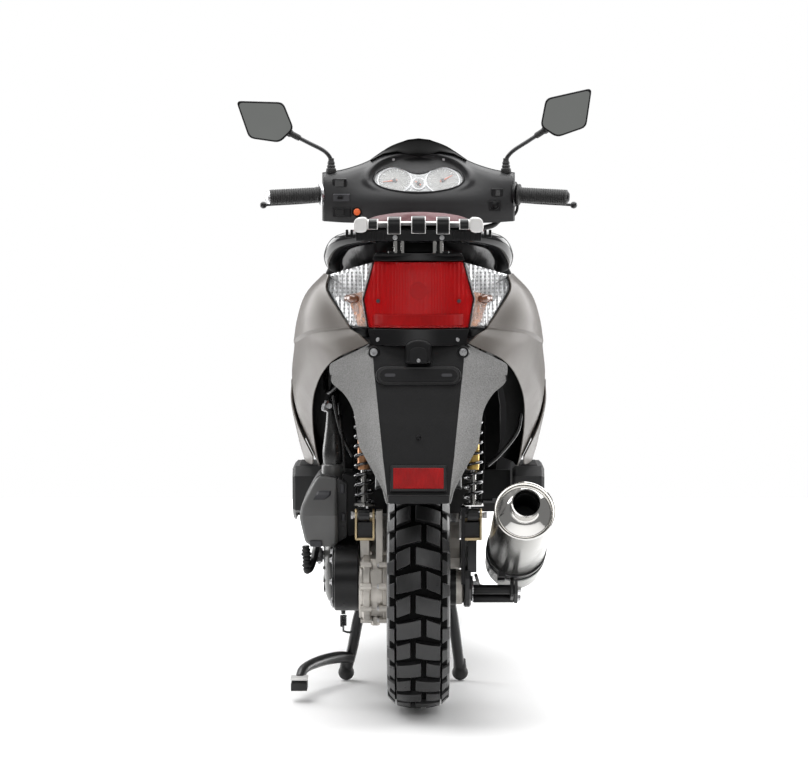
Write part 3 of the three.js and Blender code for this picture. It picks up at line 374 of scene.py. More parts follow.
def surface(
    name, colour, rough, metal=0.0, tone=0.1, tone_scale=7, grain=0.0, grain_scale=900, spread=0.08,
    coat=0.0, coat_rough=0.06, clear=0.0, ior=1.5, ribs=None, alpha=1.0, dots=None
):
    """A principled material whose colour, roughness and relief all vary.

    Ribs are (direction, scale, depth) and dots are (scale, strength).
    """
    look = bpy.data.materials.new(name)
    look.use_nodes = True
    tree = look.node_tree
    shader = tree.nodes["Principled BSDF"]
    new, link = tree.nodes.new, tree.links.new
    where = new("ShaderNodeTexCoord").outputs["Object"]

    def noise(scale, detail):
        """A noise pattern fixed to the piece."""
        node = new("ShaderNodeTexNoise")
        node.inputs["Scale"].default_value = scale
        node.inputs["Detail"].default_value = detail
        link(where, node.inputs["Vector"])
        return node.outputs["Fac"]

    blotch = noise(tone_scale, 5)
    ramp = new("ShaderNodeValToRGB")
    ramp.color_ramp.elements[0].position = 0.3
    ramp.color_ramp.elements[1].position = 0.7
    for end, factor in ((0, 1 - tone), (1, 1 + tone)):
        ramp.color_ramp.elements[end].color = (*[min(1, c * factor) for c in colour], 1)
    link(blotch, ramp.inputs["Fac"])
    tinted = ramp.outputs["Color"]
    if dots:
        waves = []
        for direction in "XZ":
            wave = new("ShaderNodeTexWave")
            wave.bands_direction = direction
            wave.inputs["Scale"].default_value = dots[0]
            link(where, wave.inputs["Vector"])
            waves.append(wave.outputs["Fac"])
        grid = new("ShaderNodeMath")
        grid.operation = "MULTIPLY"
        link(waves[0], grid.inputs[0])
        link(waves[1], grid.inputs[1])
        level = new("ShaderNodeMapRange")
        level.inputs["From Min"].default_value = 0.25
        level.inputs["From Max"].default_value = 0.6
        level.inputs["To Max"].default_value = dots[1]
        link(grid.outputs["Value"], level.inputs["Value"])
        dark = new("ShaderNodeMixRGB")
        dark.inputs["Color2"].default_value = (0.1, 0.09, 0.08, 1)
        link(level.outputs["Result"], dark.inputs["Fac"])
        link(tinted, dark.inputs["Color1"])
        tinted = dark.outputs["Color"]
    link(tinted, shader.inputs["Base Color"])
    shine = new("ShaderNodeMapRange")
    shine.inputs["To Min"].default_value = max(0.02, rough - spread)
    shine.inputs["To Max"].default_value = min(1, rough + spread)
    link(noise(tone_scale * 5, 8), shine.inputs["Value"])
    link(shine.outputs["Result"], shader.inputs["Roughness"])
    relief = None
    if grain:
        relief = new("ShaderNodeBump")
        relief.inputs["Strength"].default_value = grain
        relief.inputs["Distance"].default_value = 0.0006
        link(noise(grain_scale, 3), relief.inputs["Height"])
        link(relief.outputs["Normal"], shader.inputs["Normal"])
    if ribs:
        direction, scale, depth = ribs
        wave = new("ShaderNodeTexWave")
        wave.bands_direction = direction
        wave.inputs["Scale"].default_value = scale
        link(where, wave.inputs["Vector"])
        ridge = new("ShaderNodeBump")
        ridge.inputs["Strength"].default_value = depth
        ridge.inputs["Distance"].default_value = 0.002
        link(wave.outputs["Fac"], ridge.inputs["Height"])
        if relief:
            link(relief.outputs["Normal"], ridge.inputs["Normal"])
        link(ridge.outputs["Normal"], shader.inputs["Normal"])
    shader.inputs["Metallic"].default_value = metal
    shader.inputs["Coat Weight"].default_value = coat
    shader.inputs["Coat Roughness"].default_value = coat_rough
    shader.inputs["Transmission Weight"].default_value = clear
    shader.inputs["IOR"].default_value = ior
    shader.inputs["Alpha"].default_value = alpha
    return look


PAINT = surface(
    "champagne_paint", (0.066, 0.054, 0.044), 0.44, 0.3, 0.05, 5, 0.12, 2600, 0.05, 0.15, 0.22,
    ior=1.4
)
MATT_BLACK = surface(
    "grained_black", (0.007, 0.007, 0.0075), 0.5, 0, 0.25, 9, 0.5, 1100, 0.08, ior=1.3
)
SHEEN_BLACK = surface(
    "satin_black", (0.006, 0.006, 0.0065), 0.3, 0, 0.25, 9, 0.18, 1500, 0.08, ior=1.33
)
GLOSS_BLACK = surface("gloss_black", (0.009, 0.009, 0.01), 0.13, 0, 0.2, 9, 0.05, 900, 0.05)
GUARD_BLACK = surface(
    "guard_black", (0.008, 0.008, 0.0085), 0.5, 0, 0.2, 8, 0.9, 700, 0.08, ior=1.32
)
# Lighter grey for the mudguard's side wings: painted sheen standing for the side lights reflected there.
GUARD_WING_SHEEN = surface("guard_wing_painted_sheen", (0.2, 0.198, 0.195), 0.55, 0, 0.3, 420, 1, 420, 0.12)
DASH_BLACK = surface(
    "dash_plastic", (0.017, 0.017, 0.018), 0.44, 0, 0.25, 9, 0.5, 1100, 0.08, ior=1.42
)
SMOKE = surface(
    "smoked_hood", (0.002, 0.002, 0.002), 0.3, 0, 0.2, 9, 0.05, 900, 0.05, ior=1.12
)
CAN_STEEL = surface("can_steel", (0.38, 0.375, 0.355), 0.2, 1, 0.06, 8, 0.08, 500, 0.06)
COVER_GREY = surface("cover_grey", (0.08, 0.08, 0.077), 0.32, 0.5, 0.1, 14, 0.25, 700, 0.08)
STEEL_BLACK = surface(
    "painted_steel", (0.012, 0.012, 0.013), 0.34, 0.1, 0.3, 11, 0.2, 500, 0.1, 0.2, 0.2,
    ior=1.4
)
TYRE = surface("tyre_rubber", (0.016, 0.016, 0.0165), 0.33, 0, 0.35, 14, 0.4, 700, 0.12)
# Near-black with little reflection: painted shade in the tread grooves, behind the panels and in the seat
# well.
SHADE_BLACK = surface(
    "painted_shade_black", (0.003, 0.003, 0.003), 0.75, 0, 0.2, 14, 0.3, 900, 0.1, ior=1.15
)
RUBBER = surface("soft_rubber", (0.014, 0.014, 0.014), 0.62, 0, 0.3, 14, 0.3, 1200, 0.1)
CHROME = surface("chrome", (0.62, 0.61, 0.59), 0.09, 1, 0.04, 6, 0.03, 300, 0.05)
ZINC = surface("zinc_plate", (0.55, 0.55, 0.56), 0.3, 1, 0.15, 60, 0.2, 800, 0.12)
CAST = surface("cast_alloy", (0.5, 0.475, 0.44), 0.45, 0.8, 0.2, 18, 0.7, 420, 0.14)
GOLD = surface("gold_anodised", (0.66, 0.44, 0.13), 0.3, 1, 0.15, 20, 0.1, 900, 0.1)
# A darker, redder copy of the gold damper body: painted copper reflection on the left damper.
GOLD_COPPER_REFLECTION = surface("gold_with_painted_copper_reflection", (0.5, 0.25, 0.13), 0.32, 1, 0.15, 20, 0.1, 900, 0.1)
RED_LENS = surface(
    "red_lens", (0.5, 0.003, 0.005), 0.26, 0, 0.12, 14, 0, 900, 0.05, 0.1, 0.1, ior=1.3,
    ribs=("X", 60, 0.3), alpha=0.58
)
RED_PLAIN = surface(
    "red_prisms", (0.36, 0.004, 0.005), 0.3, 0, 0.3, 25, 0, 900, 0.05, 0.1, 0.1, ior=1.3,
    ribs=("X", 130, 0.6)
)
CLEAR_LENS = surface(
    "clear_lens", (0.95, 0.96, 0.97), 0.09, 0, 0.02, 4, 0, 900, 0.03, 0.6, 0.02,
    ribs=("Z", 38, 0.3), alpha=0.12
)
REFLECTOR = surface(
    "lamp_reflector", (0.93, 0.94, 0.95), 0.2, 0.7, 0.05, 9, 0.1, 500, 0.06,
    ribs=("X", 34, 1), dots=(41, 0.8)
)
HEAD_REFLECTOR = surface(
    "headlamp_reflector", (0.5, 0.51, 0.53), 0.12, 1, 0.05, 9, 0.05, 500, 0.04,
    ribs=("X", 12, 0.5)
)
RED_BACK = surface(
    "red_reflector", (0.85, 0.03, 0.03), 0.3, 0.4, 0.12, 16, 0, 900, 0.05,
    ribs=("X", 40, 0.8)
)
AMBER_TINT = surface(
    "amber_tint", (0.85, 0.25, 0.05), 0.2, 0, 0.5, 90, 0, 900, 0.05, ribs=("X", 34, 0.8),
    alpha=0.5
)
AMBER = surface("amber_bulb", (0.2, 0.07, 0.03), 0.2, 0, 0.1, 40, 0, 900, 0.05, 0.4, 0.05, 0.3)
GLASS = surface(
    "gauge_glass", (0.9, 0.92, 0.93), 0.05, 0, 0.02, 4, 0, 900, 0.02, 0.3, 0.02, alpha=0.1
)
MIRROR = surface("mirror_glass", (0.62, 0.64, 0.62), 0.05, 1, 0.03, 9, 0, 900, 0.02)
DIAL = surface("dial_face", (0.42, 0.43, 0.43), 0.55, 0, 0.03, 30, 0.1, 900, 0.05)
INK = surface("dial_ink", (0.03, 0.03, 0.035), 0.5, 0, 0.1, 30, 0.1, 900, 0.05)
WHITE = surface("dial_white", (0.85, 0.86, 0.88), 0.4, 0, 0.03, 30, 0.1, 900, 0.05)
DIAL_GREY = surface("dial_grey", (0.27, 0.27, 0.26), 0.5, 0, 0.1, 60, 0.1, 900, 0.05)
# Pale grey: on the rack it is painted rim highlight on black plastic; on the stand it is the pad's pale top
# plate.
PALE_GREY_AND_RIM_HIGHLIGHT = surface("pale_grey_and_rim_highlight", (0.8, 0.79, 0.78), 0.3, 0.2, 0.06, 9, 0.15, 1200, 0.06, 0.4, 0.1)
NEEDLE = surface("needle_orange", (0.85, 0.16, 0.04), 0.4, 0, 0.05, 30, 0.1, 900, 0.05)
RUBBER_SHEEN = surface(
    "moulded_rubber", (0.012, 0.012, 0.012), 0.28, 0, 0.2, 14, 0.1, 1200, 0.06
)
# Black plastic painted lighter grey: painted light on the airbox lid's lit face and on the duct cuff.
PAINTED_LIGHT_BLACK = surface(
    "black_plastic_painted_light", (0.085, 0.085, 0.084), 0.36, 0, 0.15, 14, 0.2, 1200, 0.06
)
SPRING = surface(
    "spring_steel", (0.075, 0.075, 0.078), 0.2, 0.9, 0.2, 25, 0.1, 700, 0.08, 0.4, 0.1
)
GOLD_ZINC = surface("yellow_zinc", (0.5, 0.4, 0.24), 0.32, 1, 0.3, 40, 0.2, 800, 0.12)
VINYL = surface(
    "maroon_vinyl", (0.075, 0.011, 0.016), 0.5, 0, 0.12, 12, 0.6, 600, 0.08, ior=1.3
)
VINYL_BLACK = surface(
    "black_vinyl", (0.012, 0.011, 0.012), 0.42, 0, 0.2, 12, 0.6, 600, 0.08, ior=1.35
)


# ---------- Side panels ----------
def mirrored_row(row):
    """A row of points from the middle outwards, with its mirror image before it."""
    return [(-x, y, z) for x, y, z in reversed(row)] + list(row[1:])


# From the tail to the seat's nose. The upper band ends at the crease where the lower one starts.
PANEL_UPPER = [
    [(172, -716, 850), (177, -716, 822), (155, -750, 786), (132, -784, 753)],
    [(180, -650, 850), (204, -645, 820), (214, -655, 780), (207, -668, 741)],
    [(186, -540, 846), (222, -530, 808), (238, -530, 762), (243, -533, 718)],
    [(186, -390, 824), (226, -380, 790), (244, -376, 742), (252, -375, 700)],
    [(176, -250, 786), (214, -240, 750), (236, -236, 712), (246, -235, 672)],
    [(158, -140, 738), (192, -131, 698), (210, -129, 658), (221, -128, 620)],
    [(130, -66, 700), (156, -62, 664), (171, -60, 632), (181, -60, 600)],
]
PANEL_LOWER = [
    [(129, -780, 749), (114, -806, 741), (105, -816, 733), (95, -826, 724)],
    [(202, -666, 735), (192, -684, 716), (180, -703, 699), (167, -722, 683)],
    [(239, -534, 712), (233, -540, 678), (222, -550, 646), (204, -558, 618)],
    [(251.5, -375, 696), (257, -376, 640), (248, -386, 588), (215, -400, 541)],
    [(246, -235, 670), (253.5, -235, 600), (243, -245, 520), (208, -265, 445)],
    [(221, -128, 618), (231, -128, 555), (223, -130, 490), (201, -132, 436)],
    [(181, -60, 598), (190, -60, 545), (188, -60, 490), (178, -60, 440)],
]
SKIRT = [
    [(262, -300, 622), (260, -305, 572), (246, -300, 520), (219, -285, 461)],
    [(260, -228, 617), (265, -225, 570), (252, -220, 505), (223, -207, 438)],
    [(241, -120, 560), (252, -112, 522), (254, -108, 480), (240, -104, 434)],
    [(232, 30, 492), (247, 30, 476), (252, 30, 456), (250, 30, 432)],
]


def side_bodywork():
    """The painted side panels, creased where their two bands meet, and the skirts by the floor."""
    rows, columns = 60, 14
    bands = [
        sheet(g, rows, columns)[0].reshape(rows + 1, columns + 1, 3)
        for g in (PANEL_UPPER, PANEL_LOWER)
    ]
    panel = patch(np.concatenate(bands, 1))
    skirt = sheet(SKIRT, 30, 16)
    for side, turn in SIDES:
        # Their inner faces take the near-black as painted shade behind the panels.
        make(
            f"panel_{side}", turn(panel), PAINT, "frame", f"side_panel_{side}",
            skin=3, bevel=1.0, sharp=24, away_from=(0, -400, 650), inside=SHADE_BLACK,
        )
        make(
            f"skirt_{side}", turn(skirt), PAINT, "frame", f"side_skirt_{side}",
            skin=3.5, bevel=1.2, away_from=(0, -150, 520), inside=SHADE_BLACK,
        )


side_bodywork()


# ---------- Tail lamps ----------
def tail_y(x, z):
    """How far back the rounded tail face lies."""
    return -836 + 0.0035 * x * x + (z - 752) * 0.25


def fold(z):
    """How much further forward the red lens lies under its crease."""
    return max(0, LENS_CREASE - z) * 0.12


def between(line, t):
    """The point a share t of the way along a line of (t, a, b) points."""
    steps = [p[0] for p in line]
    return np.array([np.interp(t, steps, [p[k] for p in line]) for k in (1, 2)])


LENS_CREASE = 781
LENS_SIDE = [(0, 84, 876), (0.57, 103, 806), (1, 94, 753)]
TURN_INNER = [(0, 86.5, 875), (0.57, 105.5, 806), (1, 96.5, 753)]
TURN_OUTER = [(0, 172, 849), (0.24, 174.5, 822), (1, 131, 753)]


def tail_lamps():
    """The red lamp between two clear turn lamps, each with reflector and bulb behind its lens."""

    def red(push, shrink=0.0):
        rows, columns = 28, 32
        points = np.zeros((rows + 1, columns + 1, 3))
        for i in range(rows + 1):
            half, z = between(LENS_SIDE, i / rows)
            for j in range(columns + 1):
                u = 2 * j / columns - 1
                x = (half - shrink) * u
                bulge = 4 * (1 - abs(u) ** 7) * min(1, (876 - z) / 12, (z - 749) / 8)
                points[i, j] = (x, tail_y(x, z) - bulge + fold(z) + push, z)
        return patch(points)

    def turn(push, inset=0.0, hollow=0.0):
        rows, columns = 18, 16
        points = np.zeros((rows + 1, columns + 1, 3))
        for i in range(rows + 1):
            a, b = between(TURN_INNER, i / rows), between(TURN_OUTER, i / rows)
            for j in range(columns + 1):
                x, z = a + (b - a) * (inset + (1 - 2 * inset) * j / columns)
                dish = hollow * math.sin(math.pi * i / rows) * math.sin(math.pi * j / columns)
                points[i, j] = (x, tail_y(x, z) + push + dish, z)
        return patch(points)

    back = (0, -600, 800)
    make("red_lens", red(0), RED_LENS, "frame", "tail_lamp_lens", skin=2.5, bevel=0.8, away_from=back)
    make("lamp_reflector", red(14, 1), RED_BACK, "frame", "tail_lamp_housing", skin=1.5, away_from=back)
    socket = turned([(0.1, 0), (10, 0), (15, 1.5), (17, 4), (17, 9), (0.1, 9)], at(0, -816, 822, turn_z=90))
    make("tail_bulb", socket, SHEEN_BLACK, "frame")
    band = [
        [(x, tail_y(x, z) - 5.4 + fold(z), z) for x in np.linspace(-84, 84, 20)]
        for z in (778, 770, 758)
    ]
    make("tail_reflex", patch(band), RED_PLAIN, "frame", skin=1.5, bevel=0.5, away_from=back)
    for side, mirror in SIDES:
        make(f"turn_lens_shell_{side}", mirror(turn(0)), CLEAR_LENS, "frame", f"turn_lens_{side}",
             skin=2.5, bevel=0.8, away_from=back)
        make(
            f"turn_reflector_{side}", mirror(turn(10, 0.03, 26)), REFLECTOR, "frame", skin=1.2,
            away_from=back
        )
        tint = turn(3.4)[0].reshape(19, 17, 3)[8:, 1:9]
        make(f"turn_tint_{side}", mirror(patch(tint)), AMBER_TINT, "frame", skin=1, away_from=back)
        bulb = turned(
            [(0.1, -16), (6, -14), (9, -6), (9, 6), (7, 12), (7, 22), (0.1, 22)],
            at(124, -772, 806, turn_z=60)
        )
        make(f"turn_bulb_{side}", mirror(bulb), AMBER, "frame")
        edge = [between(TURN_OUTER, t) for t in (0, 0.24, 0.6, 1)] + [np.array([97, 752.0])]
        bezel = tube([(x, tail_y(x, z) + 1.5, z) for x, z in edge], 2.4, 8, smooth=False)
        make(f"lamp_bezel_{side}", mirror(bezel), GLOSS_BLACK, "frame")
    seam = [(x + 1.2, tail_y(x, z) - 0.5, z) for _, x, z in LENS_SIDE]
    make("lens_seams", both(tube(seam, 1.6, 8, smooth=False)), GLOSS_BLACK, "frame")
    head = [(0.1, -2.2), (3.4, -2), (3.8, 0), (0.1, 0)]
    screws = [turned(head, at(x, tail_y(x, 803) - 4.2, 803, turn_z=90), 20) for x in (-76, 76)]
    make("lens_screws", join(*screws), INK, "frame")


tail_lamps()


def tail_trim():
    """The black frame over and under the lamps, and the deck on top of the tail."""

    def strip(points, push):
        return patch([[(x, tail_y(x, z) - push, z) for x in xs] for z, xs in points])

    low = strip(
        [(z, np.linspace(-half, half, 24)) for z, half in ((751, 95), (744, 94), (726, 91), (721, 88))], 3
    )
    high = strip([(z, np.linspace(-half, half, 24)) for z, half in ((893, 76), (890, 84), (879, 87))], 3)
    deck = box((166, 100, 4), (0, -754, 889))
    make("tail_trim_low", low, SHEEN_BLACK, "frame", "tail_trim", skin=4, bevel=1, away_from=(0, -600, 730))
    make("tail_trim_high", high, SHEEN_BLACK, "frame", skin=4, bevel=1, away_from=(0, -600, 880))
    make("tail_deck", deck, MATT_BLACK, "frame", bevel=1)
    screws = [hex_bolt((x, tail_y(x, 731) - 3, 731), 3, 3) for x in (-76, 73)]
    make("trim_screws", join(*screws), ZINC, "frame", bevel=0.3)


tail_trim()


# ---------- Rear mudguard ----------
# height, depth and half width of the flat middle, then half width and depth of the wing's edge
GUARD = [
    (720, -823, 88, 95, -815),
    (702, -830, 86, 130, -786),
    (684, -838, 84, 164, -762),
    (676, -841, 83.5, 169, -760),
    (662, -846, 82, 168, -766),
    (645, -853, 80, 163, -772),
    (627, -861, 78, 141, -794),
    (600, -871, 75, 124, -812),
    (572, -882, 72, 118, -830),
    (535, -895, 68, 112, -846),
    (515, -902, 66, 101, -862),
    (492, -910, 63, 87, -884),
    (457, -921, 59, 67, -912),
    (432, -929, 56, 57, -926),
]
GUARD_LOW, GUARD_HIGH = 434, 721


def guard_at(z, column):
    """A column of the mudguard's table at a height between its rows."""
    rows = GUARD[::-1]
    return float(np.interp(z, [row[0] for row in rows], [row[column] for row in rows]))


def guard_y(z):
    """How far back the mudguard's middle lies."""
    return guard_at(z, 1)


def rear_guard():
    """The mudguard with its wings painted lighter grey as painted sheen, plate rest, plate lamp, bolts and
    reflector.
    """
    rows = 56
    rings = []
    for z, y, half, wing, wing_y in GUARD:
        outer, fold, middle = (wing, wing_y, z), (half, y + 1, z), (0, y - 2, z)
        wing_mid = tuple((a + b) / 2 + (0, 3, 0)[k] for k, (a, b) in enumerate(zip(outer, fold)))
        ring = list(spline([outer, wing_mid, fold], 8)) + [
            (half * t, y - 2 * (1 - t * t), z)
            for t in (0.97, 0.6, 0.3)
        ]
        rings.append(
            np.array([tuple(p) for p in ring] + [middle] + [(-p[0], p[1], p[2]) for p in reversed(ring)])
        )
    points = lofted(rings, rows)
    points[:, :, 2] = np.clip(points[:, :, 2], GUARD_LOW, GUARD_HIGH)
    guard = make("mudguard", patch(points), GUARD_BLACK, "frame", "rear_mudguard",
                 skin=3, bevel=0.8, sharp=20, away_from=(0, -700, 600))
    guard.data.materials.append(GUARD_WING_SHEEN)
    # Faces out past the wing line get the lighter grey as painted sheen.
    for face in guard.data.polygons:
        x, _, z = face.center / MM
        face.material_index = int(abs(x) > guard_at(z, 2) + (8 if z > 697 else 0))
    lip = box((112, 7, 16), (0, -930, 442), turn_x=17)
    make("mudguard_lip", lip, MATT_BLACK, "frame", bevel=2)

    def pill(half, r):
        """An outline with two round ends, their centres at half on each side."""
        right = [(half + r * math.cos(a), r * math.sin(a)) for a in np.radians(np.linspace(-90, 90, 13))]
        return right + [(-x, -z) for x, z in right]

    tilt = at(0, guard_y(664) - 1, 664, turn_x=-14)
    ring = [moved(prism(pill(62, 18), -7, 2, "y"), tilt), moved(prism(pill(60, 12.5), -10, 0, "y"), tilt)]
    make("plate_rest", ring[0], SHEEN_BLACK, "frame", bevel=3.4)
    make("plate_rest_pad", ring[1], MATT_BLACK, "frame", bevel=1.2)
    slots = [moved(prism(pill(7, 3), -10.6, -9, "y"), tilt @ at(s * 53, 0, 0)) for s in (-1, 1)]
    make("plate_slots", join(*slots), INK, "frame")

    arch = [
        (26 * math.cos(a), 10 + 16 * math.sin(a))
        for a in np.radians(np.linspace(0, 180, 17))
    ] + [(-26, -18), (26, -18)]
    place = at(0, guard_y(704), 704, turn_x=-6)
    make(
        "lamp_hood", moved(prism([(x * 0.95, z) for x, z in arch], -26, 4, "y"), place), SHEEN_BLACK,
        "frame", bevel=4
    )
    inner = [(x * 0.66, z * 0.7 - 6) for x, z in arch]
    make("lamp_hood_face", moved(prism(inner, -29, -20, "y"), place), MATT_BLACK, "frame", bevel=1.5)
    make("lamp_window", box((30, 12, 2), (0, guard_y(685) - 2, 690)), CLEAR_LENS, "frame", bevel=0.8)
    bolt = [hex_bolt((s * 84, guard_y(706) - 4, 708), 5.2, 6) for s in (-1, 1)]
    pads = [
        turned(
            [(0.1, -3), (10, -3), (11.5, 0), (11.5, 2), (0.1, 2)],
            at(s * 84, guard_y(706) - 1, 708, turn_z=90), 28
        )
        for s in (-1, 1)
    ]
    make("guard_washers", join(*pads), SHEEN_BLACK, "frame", bevel=0.4)
    bolt.append(hex_bolt((0, guard_y(700) - 29, 694), 2.6, 3))
    make("guard_bolts", join(*bolt), ZINC, "frame", bevel=0.5)
    knob = turned(
        [(0.1, -7), (3, -6.5), (4.5, -3), (4.5, 2), (0.1, 2)], at(0, guard_y(553) - 1, 553, turn_z=90), 20
    )
    tabs = both(box((5, 10, 12), (165, -764, 655)))
    make("guard_knob", join(knob, tabs), MATT_BLACK, "frame", bevel=0.6)

    z = (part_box("rear_reflector")[0].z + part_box("rear_reflector")[1].z) / 2 / MM
    tilt = at(0, guard_y(z) - 3, z, turn_x=-17)
    make("reflector_frame", moved(box((104, 8, 50), (0, 0, 0)), tilt), SHEEN_BLACK, "frame", bevel=2)
    make(
        "reflector", moved(box((93, 5, 39), (0, -3.4, 0)), tilt), RED_PLAIN, "frame", "rear_reflector",
        bevel=1
    )


rear_guard()


# ---------- Tyres ----------
TYRE_RADIUS = 236
TREAD_ROWS = 32
GROOVE = 8.5


def crown(x):
    """Radius of the tread's outer face at a distance from the tyre's middle."""
    x = abs(x)
    return TYRE_RADIUS - 7.5 * (x / 44) ** 2 if x < 44 else TYRE_RADIUS - 7.5 - (x - 44) * 1.02


def tread_block(corners, turn, depth=GROOVE, cells=4):
    """A tread block over four (x, arc length) corners, curved like the tyre."""
    a, b, c, d = [np.array(p, float) for p in corners]
    top, base = [], []
    middle = (a + b + c + d) / 4
    for i in range(cells + 1):
        for j in range(cells + 1):
            u, v = i / cells, j / cells
            p = (a * (1 - u) + b * u) * (1 - v) + (d * (1 - u) + c * u) * v
            for points, grow, drop in ((top, 1.0, 0), (base, 1.08, depth + 2)):
                q = middle + (p - middle) * grow
                r = crown(q[0]) - drop
                angle = turn + q[1] / TYRE_RADIUS
                points.append((q[0], r * math.cos(angle), r * math.sin(angle)))
    n = cells + 1
    faces = [
        (i * n + j, (i + 1) * n + j, (i + 1) * n + j + 1, i * n + j + 1)
        for i in range(cells) for j in range(cells)
    ]
    rim = [i * n for i in range(n)] + [cells * n + j for j in range(1, n)]
    rim += [i * n + cells for i in range(cells - 1, -1, -1)] + [j for j in range(cells - 1, 0, -1)]
    m = n * n
    faces += [
        (rim[k], rim[(k + 1) % len(rim)], rim[(k + 1) % len(rim)] + m, rim[k] + m)
        for k in range(len(rim))
    ]
    return top + base, faces


def wheel_rib(axle, degrees, points):
    """A row of a mudguard over an axle: (x, radius) points at an angle above the horizontal."""
    a = math.radians(degrees)
    return mirrored_row([(x, axle[0] + r * math.cos(a), axle[1] + r * math.sin(a)) for x, r in points])


def tyre(name, node, body, y, z):
    """A block-tread tyre about an axle at y and z."""
    blocks = []
    pitch = 2 * math.pi * TYRE_RADIUS / TREAD_ROWS
    for row in range(TREAD_ROWS):
        turn = row * 2 * math.pi / TREAD_ROWS
        shift = 10 if row % 2 else -10
        rise, long = -12, pitch - 13
        low, high = -long / 2, long / 2
        left = [(-41, low - rise), (shift - 5.2, low + 1), (shift - 5.2, high + 1), (-41, high - rise)]
        right = [(shift + 5.2, low + 1), (41, low - rise), (41, high - rise), (shift + 5.2, high + 1)]
        blocks += [tread_block(left, turn), tread_block(right, turn)]
        for side in (-1, 1):
            out, inn = side * (59 if (row + (side > 0)) % 2 else 55), side * 45
            knob = [(inn, low - 2), (out, low + 2), (out, high - 8), (inn, high - 5)]
            blocks.append(
                tread_block(knob if side > 0 else knob[::-1], turn - 0.45 * pitch / TYRE_RADIUS, GROOVE, 3)
            )
    place = at(0, y, z)
    make(f"{name}_tread", moved(join(*blocks), place), TYRE, body, bevel=0.7, sharp=38)
    half = [
        (TYRE_RADIUS - GROOVE, 0), (TYRE_RADIUS - GROOVE - 4, 30), (TYRE_RADIUS - 19, 46), (214, 54),
        (205, 58.6), (196, 59.6), (194, 60), (190, 60), (188, 59.4), (176, 57), (166, 52), (163, 51.4),
        (160, 50), (153, 45), (151.5, 41), (152, 36)
    ]
    inner = [(153.5, 36), (190, 50), (215, 30), (221, 0)]
    ring = [(r, -x) for r, x in half[::-1]] + half[1:] + inner + [(r, -x) for r, x in inner[::-1][1:]]
    carcass = make(f"{name}_carcass", turned(ring, place, 96), TYRE, body, node, sharp=50)
    # The carcass's outer band, seen between the tread blocks, is painted near-black as painted shade in the
    # grooves.
    carcass.data.materials.append(SHADE_BLACK)
    for face in carcass.data.polygons:
        c = face.center / MM
        face.material_index = int(math.hypot(c.y - y, c.z - z) > TYRE_RADIUS - 21)


def rim(name, node, body, y, z, hub, spoke_x, boss):
    """A cast wheel with five ribbed spokes. The hub runs between two x places, and its boss has a radius."""
    place = at(0, y, z)
    barrel = turned(
        [
            (151, -44), (153.5, -43), (153.5, -40), (148, -38), (143, -30), (140, -20), (140, 20), (143, 30),
            (148, 38), (153.5, 40), (153.5, 43), (151, 44), (146, 42), (138, 30), (134, 22), (134, -22),
            (138, -30), (146, -42)
        ],
        place, 96
    )
    spokes = []
    for k in range(5):
        blade = prism(
            [(18, -17), (60, -11), (110, -10), (140, -19), (140, 19), (110, 10), (60, 11), (18, 17)],
            spoke_x - 10, spoke_x + 10
        )
        rib = prism([(24, -4), (136, -5), (136, 5), (24, 4)], spoke_x - 13, spoke_x + 13)
        spokes += [
            moved(blade, at(0, 0, 0, turn_x=72 * k + 90)), moved(rib, at(0, 0, 0, turn_x=72 * k + 90))
        ]
    low, high = hub
    core = turned(
        [
            (9, low), (boss - 6, low), (boss - 4, low + 3), (boss, low + 14), (boss, high - 14),
            (boss - 4, high - 3), (boss - 6, high), (9, high)
        ],
        at(0, 0, 0), 48
    )
    make(name, join(barrel, moved(join(core, *spokes), place)), CAST, body, node, bevel=1.6, sharp=40)


REAR_AXLE = (-648, 240)
FRONT_AXLE = (702, 236)
tyre("rear", "rear_tyre", "rear_wheel", *REAR_AXLE)
tyre("front", "front_tyre", "front_wheel", *FRONT_AXLE)
rim("rear_wheel_casting", "rear_rim", "rear_wheel", *REAR_AXLE, (-22, 52), 14, 32)
rim("front_wheel_casting", "front_rim", "front_wheel", *FRONT_AXLE, (-60, 58), 0, 28)
drum = turned([(10, 24), (68, 24), (70, 27), (70, 47), (67, 50), (10, 50)], at(0, *REAR_AXLE), 64)
make("rear_drum", drum, CAST, "rear_wheel", bevel=1)

# ---------- Silencer ----------
CAN_FRONT = Vector((187, -585, 280))
CAN_REAR = Vector((198, -880, 414))


